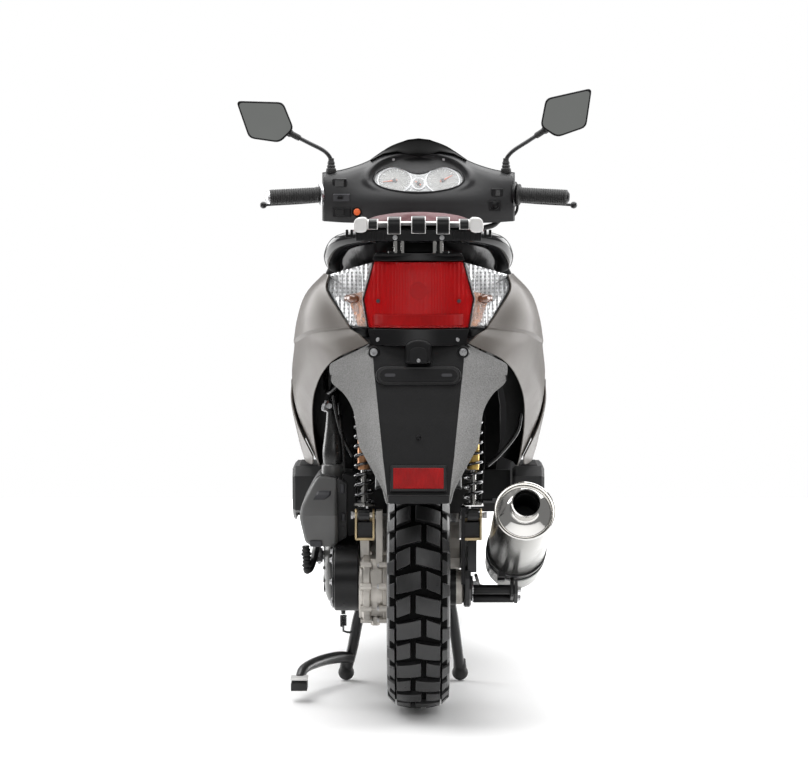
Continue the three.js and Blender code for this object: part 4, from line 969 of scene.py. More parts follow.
def silencer():
    """The exhaust pipe and its can, with cap, bore and bands."""
    axis = CAN_REAR - CAN_FRONT
    long = axis.length
    place = along(CAN_FRONT, CAN_REAR)
    can = [(19, -34), (21, -34), (24, -32), (50, -4), (54, 0), (56, 4)]
    can += [(56, long - 3), (56, long - 2.5), (24.5, long - 2.5), (24.5, long - 45), (19, long - 45)]
    cap_steps = [
        (57.2, -1), (57.2, 2), (55.5, 3.5), (52.5, 2), (50, -1), (36, 9), (31.5, 12), (28.5, 13), (28, 14),
        (28.4, 18), (26.5, 20), (26.5, 44), (28, 46), (28, 48), (25.5, 48.5), (24, 46), (23.5, -10),
        (54, -10)
    ]
    cap = [(r, long + d) for r, d in cap_steps]
    make("silencer", turned(can, place, 96), CAN_STEEL, "engine", "muffler", sharp=30)
    make("silencer_cap", turned(cap, place, 96), CHROME, "engine", sharp=30)
    soot = turned(
        [
            (23.4, long + 30), (23.3, long - 39), (0.5, long - 39.5), (0.5, long - 38), (22.4, long - 37),
            (22.6, long + 29)
        ],
        place, 48
    )
    make("silencer_bore", soot, MATT_BLACK, "engine")
    bands = []
    for start in (62, 88):
        bands.append(
            turned([(56.2, start), (58.6, start + 0.8), (58.6, start + 9.2), (56.2, start + 10)], place, 72)
        )
        bands.append(moved(box((10, 14, 10), (start + 5, 0, 0)), place @ at(0, -30, -53)))
    make("silencer_bands", join(*bands), STEEL_BLACK, "engine", bevel=0.5)
    inlet = CAN_FRONT - axis.normalized() * 28
    route = [
        inlet, (181, -548, 252), (166, -460, 207), (143, -342, 187), (113, -242, 181), (54, -178, 183),
        (4, -148, 206)
    ]
    make("exhaust_pipe", tube(route, 13, 24), STEEL_BLACK, "engine")
    collar = [
        rod(Vector(route[0]), Vector(route[0]) + axis.normalized() * 14, 17),
        rod((2, -147, 204), (0, -146, 214), 19)
    ]
    make("pipe_collars", join(*collar), ZINC, "engine", bevel=1)


silencer()


# ---------- Handlebar covers and instruments ----------
DASH_X = [0, 60, 110, 165, 213]
DASH_REAR = [
    ([1124, 1109, 1076, 1056, 1048], [342, 336, 322, 306, 300]),
    ([1096, 1087, 1064, 1046, 1037], [324, 318, 302, 288, 282]),
    ([1064, 1060, 1047, 1030, 1021], [304, 300, 286, 275, 274]),
    ([1003, 1003, 1000, 996, 992], [256, 256, 258, 264, 270]),
    ([972, 972, 970, 968, 966], [250, 251, 255, 264, 272]),
    ([936, 936, 936, 937, 940], [259, 260, 264, 273, 282]),
]
DASH_FRONT = [
    ([942, 942, 942, 943, 945], [384, 380, 366, 344, 324]),
    ([982, 980, 976, 972, 970], [408, 404, 386, 358, 336]),
    ([1034, 1030, 1020, 1008, 1002], [418, 412, 392, 362, 338]),
    ([1095, 1085, 1061, 1046, 1038], [404, 398, 376, 348, 328]),
    ([1126, 1111, 1078, 1058, 1050], [348, 342, 328, 312, 306]),
]
GLASS_HALF = 101
GLASS_Z = 1034


def dash_grid(rows):
    """Full rows of dash points from the heights and depths of one side."""
    return [mirrored_row([(x, y, z) for x, y, z in zip(DASH_X, ys, zs)]) for zs, ys in rows]


def glass_edges(x):
    """Heights of the bean-shaped glass's lower and upper edge over GLASS_Z."""
    x = min(abs(x), GLASS_HALF)
    low = -28 * math.sqrt(1 - (x / GLASS_HALF) ** 2)
    dip = 14 + 14 * math.sin(math.pi * x / 116) ** 2
    return low, dip if x < 58 else 28 * math.sqrt(max(0, 1 - ((x - 58) / (GLASS_HALF - 58)) ** 2))


def glass_plane(x, dz, depth=0.0):
    """A point on the instruments' sloping plane, a depth below the dash's face."""
    return (x, 277 + 0.8 * dz + depth * 0.766, GLASS_Z + dz - depth * 0.3)


def ease(t):
    """Goes smoothly from 0 to 1."""
    t = np.clip(t, 0, 1)
    return t * t * (3 - 2 * t)


def dash_shell():
    """The rear half of the bar cover, with a ridge and a bowl round the instruments. Returns its points."""
    columns, rows = 172, 92
    v, f = sheet(dash_grid(DASH_REAR), rows, columns)
    for i, (x, _, z) in enumerate(v):
        dz = z - GLASS_Z
        low, high = glass_edges(x)
        inside = min(high - dz, dz - low, GLASS_HALF - abs(x))
        reach = math.hypot(x / 117, dz / (62 if dz > 0 else 37))
        ridge = math.exp(-(((reach - 1) / 0.075) ** 2)) * ease((dz + 30) / 34) * ease((1100 - z) / 20)
        bowl = 9 * ease((1 - reach) / 0.22) * ease((dz - high + 30) / 40)
        v[i, 1] += 13 * ease((inside + 1) / 3) - 8 * ridge + bowl * (inside < 0)
    make(
        "dash_rear", (v, f), DASH_BLACK, "steering", "dash_rear_cover",
        skin=2.5, sharp=60, away_from=(0, 340, 1000),
    )
    return v


def on_dash(points, x, z, out=0.0):
    """The point of the dash's face at x and z, moved out towards the rider."""
    near = points[np.argmin((points[:, 0] - x) ** 2 + (points[:, 2] - z) ** 2)]
    return (x, near[1] - out, z)


def hood(face):
    """The smoked hood that stands over the instruments."""
    rows = []
    for x in np.linspace(-109, 109, 61):
        low = float(np.interp(abs(x), [0, 24, 48, 80, 109], [1085, 1091, 1097, 1092, 1077]))
        high = float(np.interp(abs(x), [0, 25, 49, 82, 109], [1127, 1124, 1115, 1098, 1079]))
        rows.append(
            [on_dash(face, x, low + (high - low) * t, 8 * (1 - t) ** 2 + 3) for t in np.linspace(0, 1, 12)]
        )
    grid = np.array(rows)
    grid[:, :, 1] = spread_out(grid[:, :, 1])
    make("dash_hood", patch(grid), SMOKE, "steering", skin=3, bevel=1, sharp=60, away_from=(0, 400, 1000))


def spread_out(values, times=6):
    """A table of numbers averaged with its neighbours a few times."""
    for _ in range(times):
        padded = np.pad(values, 1, mode="edge")
        values = (
            padded[:-2, 1:-1] + padded[2:, 1:-1] + padded[1:-1, :-2] + padded[1:-1, 2:] + 2 * values
        ) / 6
    return values


def instruments():
    """Two dials and a small gauge between them, under one bean-shaped glass."""

    def plate(grow, depth, bulge=0.0):
        grid = []
        for x in np.linspace(-GLASS_HALF, GLASS_HALF, 65):
            low, high = glass_edges(x)
            shrink = (GLASS_HALF - 0.5 + grow) / GLASS_HALF
            grid.append(
                [
                    glass_plane(
                        x * shrink, (low + (high - low) * t) * (1 + grow / 30),
                        depth - bulge * math.sin(math.pi * t) * (1 - (x / GLASS_HALF) ** 2)
                    )
                    for t in np.linspace(0, 1, 17)
                ]
            )
        return patch(grid)

    out = (0, 360, 940)
    make("gauge_plate", plate(-0.5, 11), DIAL, "steering", skin=1.2, away_from=out)
    make("gauge_window", plate(0, 3, 4), GLASS, "steering", "instrument_cluster", skin=1.5, away_from=out)
    edge = [glass_plane(x, glass_edges(x)[1] + 0.5, 1.5) for x in np.linspace(-GLASS_HALF, GLASS_HALF, 41)]
    edge += [
        glass_plane(x, glass_edges(x)[0] - 0.5, 1.5)
        for x in np.linspace(GLASS_HALF, -GLASS_HALF, 41)[1:-1]
    ]
    make("gauge_seal", tube(edge + edge[:1], 1.6, 8, steps=160), GLOSS_BLACK, "steering")

    def dial(x, dz, radius, needle, squeeze=1.0):
        spot = lambda r, a, d: glass_plane(x + r * math.cos(a), dz + squeeze * r * math.sin(a) * 0.74, d)
        turn = np.linspace(0, 2 * math.pi, 49)
        face = [spot(radius, a, 10.2) for a in turn[:-1]]
        face_piece = ([spot(0, 0, 10.2)] + face, [(0, i + 1, (i + 1) % 48 + 1) for i in range(48)])
        ring = tube([spot(radius, a, 9.2) for a in turn], 1.7, 8, steps=96)
        ticks = []
        for k, a in enumerate(np.radians(np.linspace(-40, 220, 27))):
            reach = (0.7 if k % 3 == 0 else 0.82) * radius
            ticks.append(
                tube(
                    [spot(reach, a, 9.6), spot(radius * 0.93, a, 9.6)], 0.75 if k % 3 == 0 else 0.4, 6,
                    smooth=False
                )
            )
        hand = tube([spot(-6, needle, 8.2), spot(radius * 0.72, needle, 8.2)], [1.9, 0.5], 8, smooth=False)
        cap = turned(
            [(0.1, 0), (4.5, 0), (4.5, 2.5), (3.5, 4), (0.1, 4)], along(spot(0, 0, 9.5), spot(0, 0, 5)), 24
        )
        return face_piece, ring, join(*ticks), hand, cap

    dials = [
        dial(-54, 0, 38, math.radians(190)), dial(54, 0, 38, math.radians(35)),
        dial(0, -7, 15, math.radians(140), 1.15)
    ]
    looks = (("face", DIAL_GREY), ("rings", WHITE), ("marks", WHITE), ("needles", NEEDLE), ("caps", INK))
    for (name, look), shapes in zip(looks, zip(*dials)):
        make(f"gauge_{name}", join(*shapes), look, "steering")


def controls(face):
    """The switches by the grips, each in a frame of its own, and the dash's screws."""

    def plate(name, x, z, width, height, look, out=2.0, bevel=1.2, turn=0.0):
        place = on_dash(face, x, z, out - 3)
        return make(
            name, moved(box((width, 8, height), (0, 0, 0)), at(*place, turn_x=14, turn_z=turn)), look,
            "steering", bevel=bevel
        )

    plate("beam_frame", -177, 1024, 32, 24, MATT_BLACK, 2, 2, -8)
    plate("beam_rocker", -177, 1025, 22, 15, GLOSS_BLACK, 4.5, 1.5, -8)
    plate("turn_frame", -172, 993, 38, 17, INK, 1.5, 1.5, -8)
    plate("horn_frame", -172, 960, 42, 21, MATT_BLACK, 2, 2, -8)
    plate("horn_key", -176, 960, 20, 14, SHEEN_BLACK, 4, 1.5, -8)
    plate("cut_off_frame", 176, 1003, 26, 22, MATT_BLACK, 2, 2, 8)
    plate("cut_off_rocker", 177, 1004, 12, 14, GLOSS_BLACK, 4, 1.5, 8)
    plate("starter_frame", 171, 975, 28, 24, MATT_BLACK, 1.4, 2, 8)
    for body, look in (("horn", NEEDLE), ("starter", SHEEN_BLACK)):
        low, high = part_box(f"{body}_button")
        x, z = (low.x + high.x) / 2 / MM, (low.z + high.z) / 2 / MM
        cap = turned(
            [(0.1, 0), (5, 0), (7, 1.2), (7.5, 3), (7.5, 16), (0.1, 16)], at(x, low.y / MM, z, turn_z=90), 32
        )
        dish = turned(
            [(5.4, -0.6), (6.3, -0.6), (6.3, 0.6), (5.4, 0.6)], at(x, low.y / MM + 0.2, z, turn_z=90), 32
        )
        make(f"{body}_cap", cap, look, body, f"{body}_button", bevel=0.4)
        if body == "horn":
            make("horn_ring", dish, look, body)
        collar = turned(
            [(8.6, -3), (11, -3), (11.6, -1.5), (11.6, 6), (8.6, 6)], at(*on_dash(face, x, z), turn_z=90), 32
        )
        make(f"{body}_collar", collar, SHEEN_BLACK, "steering", bevel=0.5)
    low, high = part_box("turn_switch")
    x, y, z = [(a + b) / 2 / MM for a, b in zip(low, high)]
    knob = prism([(-6, -9), (6, -9), (5, -1), (9, 2), (9, 5), (-9, 5), (-9, 2), (-5, -1)], -3.4, 3.4, "z")
    make("turn_knob", moved(knob, at(x, y + 1, z)), SHEEN_BLACK, "turn_signal", "turn_switch", bevel=0.8)
    screws = [hex_bolt(on_dash(face, s * 57, 1079, 0), 2.6, 3) for s in (-1, 1)]
    make("dash_screws", join(*screws), ZINC, "steering", bevel=0.4)


def dash_ends():
    """The front half of the bar cover, the end caps and the throttle cable with its boot."""
    rear = [(213, ys[-1], zs[-1]) for zs, ys in DASH_REAR][::-1]
    front = [(213, ys[-1], zs[-1]) for zs, ys in DASH_FRONT]
    a, b = spline(rear, 30), spline(front, 30)
    mid = (a + b) / 2 + (4, 0, 0)
    cap = patch(np.stack([a, (a + mid) / 2 + (1.5, 0, 0), mid, (b + mid) / 2 + (1.5, 0, 0), b], 1))
    make("dash_ends", both(cap), SHEEN_BLACK, "steering", sharp=50)
    make("dash_front", sheet(dash_grid(DASH_FRONT), 50, 80), MATT_BLACK, "steering", "dash_front_cover",
         skin=2.5, sharp=60, away_from=(0, 320, 1000))
    boot = [(182, 300, 940), (165, 288, 930), (128, 282, 922), (96, 284, 920)]
    make("cable_boot", tube(boot, [4, 6, 5, 3], 16, 24), RUBBER, "steering")
    make(
        "throttle_cable",
        tube([(224, 312, 985), (221, 310, 962), (206, 306, 946), (182, 300, 940)], 3.2, 12, 30), RUBBER,
        "steering"
    )


dash_face = dash_shell()
hood(dash_face)
instruments()
controls(dash_face)
dash_ends()

# ---------- Grips and levers ----------
BAR_INNER = (218, 290, 1000)
BAR_OUTER = (332, 268, 994)


def grips():
    """Both grips, the fittings at their ends and the throttle's housing."""
    ridged = [(13.2, 12)]
    for k in range(19):
        start = 14 + k * 5.2
        ridged += [
            (16.6, start), (16.9, start + 0.8), (16.9, start + 2.9), (16.6, start + 3.7), (15.5, start + 4),
            (15.5, start + 5)
        ]
    sleeve = [
        (13.2, 5), (23.5, 5), (24.2, 6), (24.2, 9.5), (22, 11), (18, 12)
    ] + ridged[1:] + [(17, 113), (16.4, 117), (13.2, 118)]
    place = along(BAR_INNER, BAR_OUTER)
    make("grip_right", turned(sleeve, place, 40), RUBBER, "throttle", "throttle_grip")
    cap = turned([(0.1, 116), (12.8, 116), (12.8, 119), (9, 122), (0.1, 122.5)], place, 32)
    make("grip_cap_right", cap, SHEEN_BLACK, "throttle")
    left = flipped(turned(sleeve[:1] + [(17, 5)] + sleeve[5:], place, 40))
    make("grip_left", left, RUBBER, "steering", "left_grip")
    ring = turned([(17.5, -3), (23, -3), (25, -1.5), (25, 3), (23.5, 5), (17.5, 5)], place, 48)
    end = turned([(0.1, 117), (13.5, 117), (15, 119), (14.6, 123), (9, 127), (0.1, 128)], place, 40)
    make("bar_fittings", flipped(join(ring, end)), ZINC, "steering")
    collar = turned([(12, -6), (27, -6), (29, -4), (29, 0), (24, 3), (12, 3)], place, 48)
    make("throttle_housing", collar, SHEEN_BLACK, "steering")


def levers():
    """The two brake levers with ball ends and pivot screws."""
    blade = tube([(204, 344, 987), (222, 352, 986), (275, 341, 981), (330, 330, 977.5), (348, 326.5, 976)],
                 [6.5, 6.5, 5.2, 4.6, 4.4], 20, 40, flat=0.72)
    boss = turned([(0.1, -9), (8, -9), (9, -8), (9, 8), (8, 9), (0.1, 9)], at(204, 344, 987, turn_y=90), 32)
    shape = join(blade, boss, ball((351, 326, 976), 8))
    for side, turn in SIDES:
        make(f"lever_blade_{side}", turn(shape), STEEL_BLACK, f"lever_{side}", f"brake_lever_{side}")
        screw = turned([(0.1, 9), (5, 9), (5, 12), (0.1, 12.5)], at(204, 344, 987, turn_y=-90), 6)
        make(f"lever_screw_{side}", turn(screw), ZINC, f"lever_{side}", bevel=0.4)


grips()
levers()

# ---------- Mirrors ----------
MIRROR_OUTLINE = [(-10, 9), (14, 69), (120, 72), (91, -12), (22, -22)]
SWIVEL = (197, 305, 1054)


def rounded(outline, radius, steps=5):
    """The same outline with its corners cut round."""
    out = []
    n = len(outline)
    for i in range(n):
        before, here, after = [np.array(outline[k % n], float) for k in (i - 1, i, i + 1)]
        a = here + (before - here) * min(0.45, radius / np.linalg.norm(before - here))
        b = here + (after - here) * min(0.45, radius / np.linalg.norm(after - here))
        out += [
            tuple((1 - t) ** 2 * a + 2 * t * (1 - t) * here + t * t * b)
            for t in np.linspace(0, 1, steps)
        ]
    return out


def mirrors():
    """Both mirrors: glass, shell, stem and rubber boot. The photo's right one is rolled."""
    centre = np.mean(MIRROR_OUTLINE, 0)
    rim = rounded(MIRROR_OUTLINE, 12)
    glass = [tuple(centre + (np.array(p) - centre) * (0.93, 0.91)) for p in rim]
    shell = join(
        prism(rim, -8, 2, "y"), prism([tuple(centre + (np.array(p) - centre) * 0.8) for p in rim], 0, 6, "y")
    )
    for side, s, ball_x, ball_z, roll in (("left", -1, -290, 1138, 0), ("right", 1, 285, 1145, 11)):
        place = at(ball_x, 294, ball_z, turn_y=-roll)
        turn = flipped if s < 0 else lambda shape: shape
        make(
            f"mirror_shell_{side}", moved(turn(shell), place), SHEEN_BLACK, f"mirror_{side}",
            f"mirror_head_{side}", bevel=2.2
        )
        make(
            f"mirror_face_{side}", moved(turn(prism(glass, -8.8, -6.5, "y")), place), MIRROR,
            f"mirror_{side}"
        )
        x, y, z = SWIVEL
        top = (abs(ball_x), 307, ball_z)
        knee = (x + 16, y - 1, z + 44)
        lean = np.array(top) - knee
        stem = tube([(x, y, z + 12), (x + 1, y, z + 26), knee, tuple(knee + lean * 0.5), top], 4.6, 16, 40)
        boot = turned(
            [
                (0.1, -6), (11, -6), (12, -3), (11, 4), (8.6, 6), (9.6, 10), (7.6, 13), (8.4, 17), (6.4, 22),
                (6.6, 27), (0.1, 29)
            ],
            at(x, y, z, turn_y=-90), 32
        )
        sleeve = turned(
            [(0.1, -26), (6, -26), (7, -22), (7, -6), (9, -2), (9, 6), (0.1, 6)],
            along(tuple(knee + lean), tuple(knee + lean * 2)), 24
        )
        make(f"mirror_rod_{side}", turn(stem), STEEL_BLACK, f"mirror_arm_{side}", f"mirror_stem_{side}")
        make(f"mirror_boot_{side}", turn(join(boot, sleeve)), RUBBER, f"mirror_arm_{side}")


mirrors()


# ---------- Rack and grab rail ----------
# place across, width, top and foot of each rib
RACK_RIBS = [
    (0, 24, 962, 930), (46, 22, 961, 929), (-46, 22, 961, 929), (86, 16, 957, 938), (-86, 16, 957, 938)
]


def rack():
    """The carrier behind the seat: deck, ribs, bar, hooks, posts and bolts. The deck, its ends and the rims
    round the black ribs are pale grey as painted rim highlights.
    """
    line = spline([(x, 0, z) for x, z in ((-100, 948), (-84, 952), (0, 953), (84, 952), (100, 948))], 40)
    grid = np.array(
        [[(x, y, z - drop) for x, _, z in line] for y, drop in ((-712, 3), (-716, 1), (-803, 1), (-806, 2))]
    )
    # Pale deck strip, ends and rib rims: painted rim highlights on the black carrier.
    make("rack_deck_highlight", patch(grid), PALE_GREY_AND_RIM_HIGHLIGHT, "frame", "rear_rack", skin=2, bevel=0.5, away_from=(0, -760, 900))
    ends = prism(rounded([(96, 931), (96, 961), (121, 959), (123, 931)], 11), -808, -716, "y")
    make("rack_end_highlights", both(ends), PALE_GREY_AND_RIM_HIGHLIGHT, "frame", bevel=3)
    tabs, rib_highlights = [], []
    for x, width, top, foot in RACK_RIBS:
        arch = [
            (-716, top - 18), (-716, top - 4), (-722, top), (-800, top), (-809, top - 3), (-813, top - 11)
        ]
        arch += [(-813, foot), (-805, foot), (-805, top - 16)]
        tabs.append(moved(prism(rounded(arch, 5), -width / 2, width / 2), at(x, 0, 0)))
        rib_highlights.append(
            moved(
                prism(rounded([(y + 1.4, z) for y, z in arch], 5), -width / 2 - 1.6, width / 2 + 1.6),
                at(x, 0, -0.6)
            )
        )
    make("rack_ribs", join(*tabs), SHEEN_BLACK, "frame", bevel=1.6)
    make("rack_rib_highlights", join(*rib_highlights), PALE_GREY_AND_RIM_HIGHLIGHT, "frame", bevel=0.8)
    bar = box((236, 12, 20), (0, -798, 926))
    grooves = [box((6, 15, 16), (s * x, -798, 926)) for s in (-1, 1) for x in range(66, 118, 9)]
    make("rack_bar", join(bar, *grooves), MATT_BLACK, "frame", bevel=2)
    hooks = [
        moved(
            prism([(0, 0), (14, 0), (14, 15), (9, 15), (9, 6), (5, 6), (5, 15), (0, 15)], -6, 6, "y"),
            at(s * 130 - 7, -800, 922)
        )
        for s in (-1, 1)
    ]
    make("rack_hooks", join(*hooks), SHEEN_BLACK, "frame", bevel=1)
    posts = [rod((s * 37, -772, 890), (s * 37, -772, 930), 9) for s in (-1, 1)]
    rods = [rod((x, -790, 889), (x, -790, 918), 3.6) for x in (-43, -30, 30, 43)]
    make("rack_rods", join(*rods), CHROME, "frame")
    feet = [rod((s * 44, -778, 889), (s * 44, -778, 896), 15) for s in (-1, 1)]
    make("rack_posts", join(*posts, *feet), GLOSS_BLACK, "frame")
    heads = [hex_bolt((s * 44, -804, 922), 3.4, 5) for s in (-1, 1)]
    make("rack_bolts", join(*heads), ZINC, "frame", bevel=0.5)
    make(
        "rack_block", join(box((80, 40, 52), (0, -736, 918)), box((170, 70, 12), (0, -748, 934))),
        MATT_BLACK, "frame", bevel=3
    )


def grab_rail():
    """The rail round the tail, thicker where a hand holds it."""
    half = [
        (0, -784, 922), (66, -780, 924), (112, -762, 920), (146, -720, 910), (162, -664, 888),
        (165, -604, 870), (162, -560, 860)
    ]
    route = [(-x, y, z) for x, y, z in reversed(half[1:])] + half
    make(
        "rail", tube(route, [15, 17, 20, 22, 20, 17, 16, 17, 20, 22, 20, 17, 15], 24, 90, flat=0.7),
        GLOSS_BLACK, "frame", "grab_rail"
    )
    bolts = [hex_bolt((s * 166, -584, 872), 5, 4, "x" if s < 0 else "-x") for s in (-1, 1)]
    make("rail_bolts", join(*bolts), ZINC, "frame", bevel=0.4)


rack()
grab_rail()


# ---------- Engine unit ----------
FAN = (-312, 240)
REAR_PULLEY = (-642, 256)
BOLT_CIRCLE = 65
KICK_PIVOT = (-330, 262)


def around(centre, radius, degrees):
    """Points on a circle in the side view."""
    return [
        (centre[0] + radius * math.cos(a), centre[1] + radius * math.sin(a))
        for a in np.radians(degrees)
    ]


def belt(circles):
    """The outline of a belt round (y, z, radius) circles."""
    turns = np.linspace(0, 2 * math.pi, 48, False)
    points = [(y + r * math.cos(a), z + r * math.sin(a)) for y, z, r in circles for a in turns]
    return [points[i] for i in convex_hull_2d(points)]


def belt_case():
    """The drive's long case on the left, and the fan cover on its front end."""
    y, z = FAN
    outer, raised = belt([(*FAN, 84), (*REAR_PULLEY, 63)]), belt([(*FAN, 78), (*REAR_PULLEY, 57)])
    case = join(prism(outer, -163, -116), prism(raised, -167, -160))
    make("belt_case", case, SHEEN_BLACK, "engine", "cvt_cover", bevel=2.5)
    place = at(0, y, z)
    dome = turned(
        [(0.1, -195), (34, -194.5), (58, -191.5), (72, -186.5), (79, -180), (80, -178), (0.1, -178)], place,
        72
    )
    make("fan_cover", dome, COVER_GREY, "engine")
    band = turned([(0.1, -179), (80.5, -179), (82, -177), (82, -168), (0.1, -168)], place, 72)
    make("fan_cover_band", band, SHEEN_BLACK, "engine")
    rim = turned([(78, -168.5), (84, -168.5), (85, -167), (85, -162), (78, -162)], place, 72)
    make("fan_cover_rim", rim, CAST, "engine")
    fins = [moved(box((4, 46, 6), (-193, 34, 0)), place @ at(0, 0, 0, turn_x=30 * k)) for k in range(12)]
    make("fan_cover_fins", join(*fins), COVER_GREY, "engine", bevel=1)
    spots = around(FAN, 72, (-100, -60, 60)) + around(REAR_PULLEY, 52, (80, 130, 180, 230, 280))
    spots += [(-420, 172), (-530, 186), (-530, 316), (-430, 326)]
    make(
        "case_bolts", join(*[hex_bolt((-167, a, b), 5, 5, "x") for a, b in spots]), ZINC, "engine", bevel=0.4
    )


def gearcase():
    """The final drive's case round the rear axle, and the axle's hub on the right."""
    y, z = REAR_AXLE
    place = at(0, y, z)
    steps = [
        (0.1, -38), (46, -38), (50, -42), (52, -58), (63, -60), (64, -68), (58, -71), (58, -92), (67, -94),
        (68, -106), (62, -109), (60, -115), (0.1, -116)
    ]
    spots = around(REAR_AXLE, BOLT_CIRCLE, range(12, 372, 40))
    bosses = []
    for spot in spots:
        bosses += [
            rod((-56, *spot), (-76, *spot), 6.5, sides=20), rod((-90, *spot), (-112, *spot), 6.5, sides=20)
        ]
    ribs = [moved(box((26, 5, 118), (-80, 0, 0), turn_x=a), place) for a in (-50, -25, 0, 25, 50)]
    plug = rod((-84, y - 8, z - 74), (-84, y - 8, z - 56), 9, sides=6)
    make("gearcase", join(turned(steps, place, 72), *bosses, *ribs, plug), CAST, "engine", bevel=0.8)
    heads = [hex_bolt((-76, *spot), 4.5, 4, "x") for spot in spots]
    make("gearcase_bolts", join(*heads), ZINC, "engine", bevel=0.3)
    hub = turned(
        [(0.1, 62), (30, 62), (34, 66), (34, 84), (30, 88), (18, 90), (14, 104), (0.1, 104)], place, 40
    )
    make("axle_hub", hub, CAST, "engine", bevel=0.8)
    refinish("engine_case", CAST)


AIRBOX = [
    (-211, 431), (-229, 396), (-232, 374), (-221, 323), (-206, 316), (-158, 315), (-158, 446), (-163, 451),
    (-197, 452)
]


def airbox_rear(z):
    """How far back the lid reaches: it leans forward above and below its crease."""
    return -640 + 0.62 * max(0, z - 378) + 0.22 * max(0, 378 - z)


def airbox():
    """The air cleaner on the left, with lid, flange, clips and screws."""
    outline = rounded(AIRBOX, 7)

    def edges(z):
        xs = []
        for a, b in zip(outline, outline[1:] + outline[:1]):
            if min(a[1], b[1]) <= z <= max(a[1], b[1]) and a[1] != b[1]:
                xs.append(a[0] + (b[0] - a[0]) * (z - a[1]) / (b[1] - a[1]))
        return min(xs), max(xs)

    lid = []
    for z in np.r_[np.linspace(315.2, 378, 12), np.linspace(382, 451.6, 14)]:
        low, high = edges(z)
        lid.append(
            [
                (low + (high - low) * t, airbox_rear(z) + 5 * (1 - ease(min(t, 1 - t) / 0.08)), z)
                for t in np.linspace(0, 1, 33)
            ]
        )
    # The lid is painted lighter than its sides, which use the darker dash black: painted light on its lit
    # face.
    make(
        "airbox_lid", patch(lid), PAINTED_LIGHT_BLACK, "engine", "airbox", skin=3, sharp=20,
        away_from=(-190, -400, 380)
    )
    sides = []
    ring = np.array(outline)
    depth = np.array([airbox_rear(z) + 5 for z in ring[:, 1]])
    for d in (1, 0.5, 0):
        sides.append(
            [
                (x, -446 + (y + 446) * d, z)
                for (x, z), y in zip(ring, depth)
            ] + [(ring[0][0], -446 + (depth[0] + 446) * d, ring[0][1])]
        )
    make("airbox_sides", patch(sides), DASH_BLACK, "engine", skin=3, sharp=30, away_from=(-190, -540, 380))
    flange = [
        prism(rounded([(-159, 320), (-140, 332), (-140, 440), (-159, 448)], 5), low, high, "y")
        for low, high in ((-606, -600), (-592, -446))
    ]
    make("airbox_flange", join(*flange), DASH_BLACK, "engine", bevel=1.5)
    notch = [
        [(x, airbox_rear(z) - 0.8, z) for x in np.linspace(low, high, 8)]
        for z, low, high in ((408, -205, -184), (416, -201, -172), (424, -197, -171))
    ]
    make("airbox_notch", patch(notch), INK, "engine", skin=1, away_from=(-190, -400, 380))
    clips = [
        box((24, 10, 12), (-200, -628, 322)), box((8, 8, 16), (-147, -608, 372)),
        box((8, 10, 20), (-149, -604, 428))
    ]
    make("airbox_clips", join(*clips), INK, "engine", bevel=2)
    screws = [hex_bolt((x, -607, z), 3, 3) for x, z in ((-148, 438), (-147, 350))]
    make("airbox_screws", join(*screws), STEEL_BLACK, "engine", bevel=0.3)
    inner = prism(rounded([(-139, 332), (-121, 336), (-121, 452), (-150, 456)], 5), -600, -470, "y")
    make("airbox_inner", inner, MATT_BLACK, "engine", bevel=2)


DUCT = [
    (-169, -540, 450), (-168, -540, 464), (-167, -538, 492), (-167, -532, 522), (-168, -524, 548),
    (-170, -514, 575), (-168, -500, 600), (-162, -470, 632)
]


# name, radius, whether it bends between frame and engine, route
HOSES = [
    (
        "breather_hose", 3.6, True,
        [(-168, -540, 606), (-161, -548, 566), (-150, -552, 524), (-130, -558, 486)]
    ),
    ("fuel_hose", 2.8, True, [(-157, -530, 590), (-154, -552, 550), (-149, -556, 512), (-145, -560, 452)]),
    ("brake_hose", 4, False, [(207, -430, 562), (198, -440, 524), (164, -456, 482), (138, -470, 460)]),
    ("wire_loom", 5, False, [(-186, -470, 650), (-180, -500, 610), (-145, -545, 640), (-118, -560, 662)])
]


def ducts():
    """The intake duct and the hoses by the rear wheel. The duct and the hoses that run between frame and
    engine are left on no body.
    """
    duct = make(
        "duct", tube(DUCT, [17, 19, 23, 20, 16, 12, 11, 11], 28, 64), RUBBER_SHEEN, None, "intake_duct"
    )
    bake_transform(duct)
    cuff = turned(
        [(0.1, -6), (22, -6), (22.5, 18), (21, 22), (18, 24), (0.1, 24)],
        along((-169.5, -545, 446), (-169, -543, 476)), 40
    )
    # The cuff shares the lighter grey painted light.
    make("duct_cuff", cuff, PAINTED_LIGHT_BLACK, "engine", bevel=1)
    nut = turned(
        [(0.1, -9), (7, -9), (8, -6), (8, 4), (6, 6), (5, 12), (0.1, 12)],
        along((-183, -545, 584), (-178, -540, 602)), 6
    )
    make("hose_union", join(nut, hex_bolt((-176, -552, 586), 4, 6)), ZINC, "frame", bevel=0.5)
    for name, radius, bends, points in HOSES:
        hose = make(name, tube(points, radius, 12, 36), RUBBER_SHEEN, None if bends else "frame")
        if bends:
            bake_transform(hose)


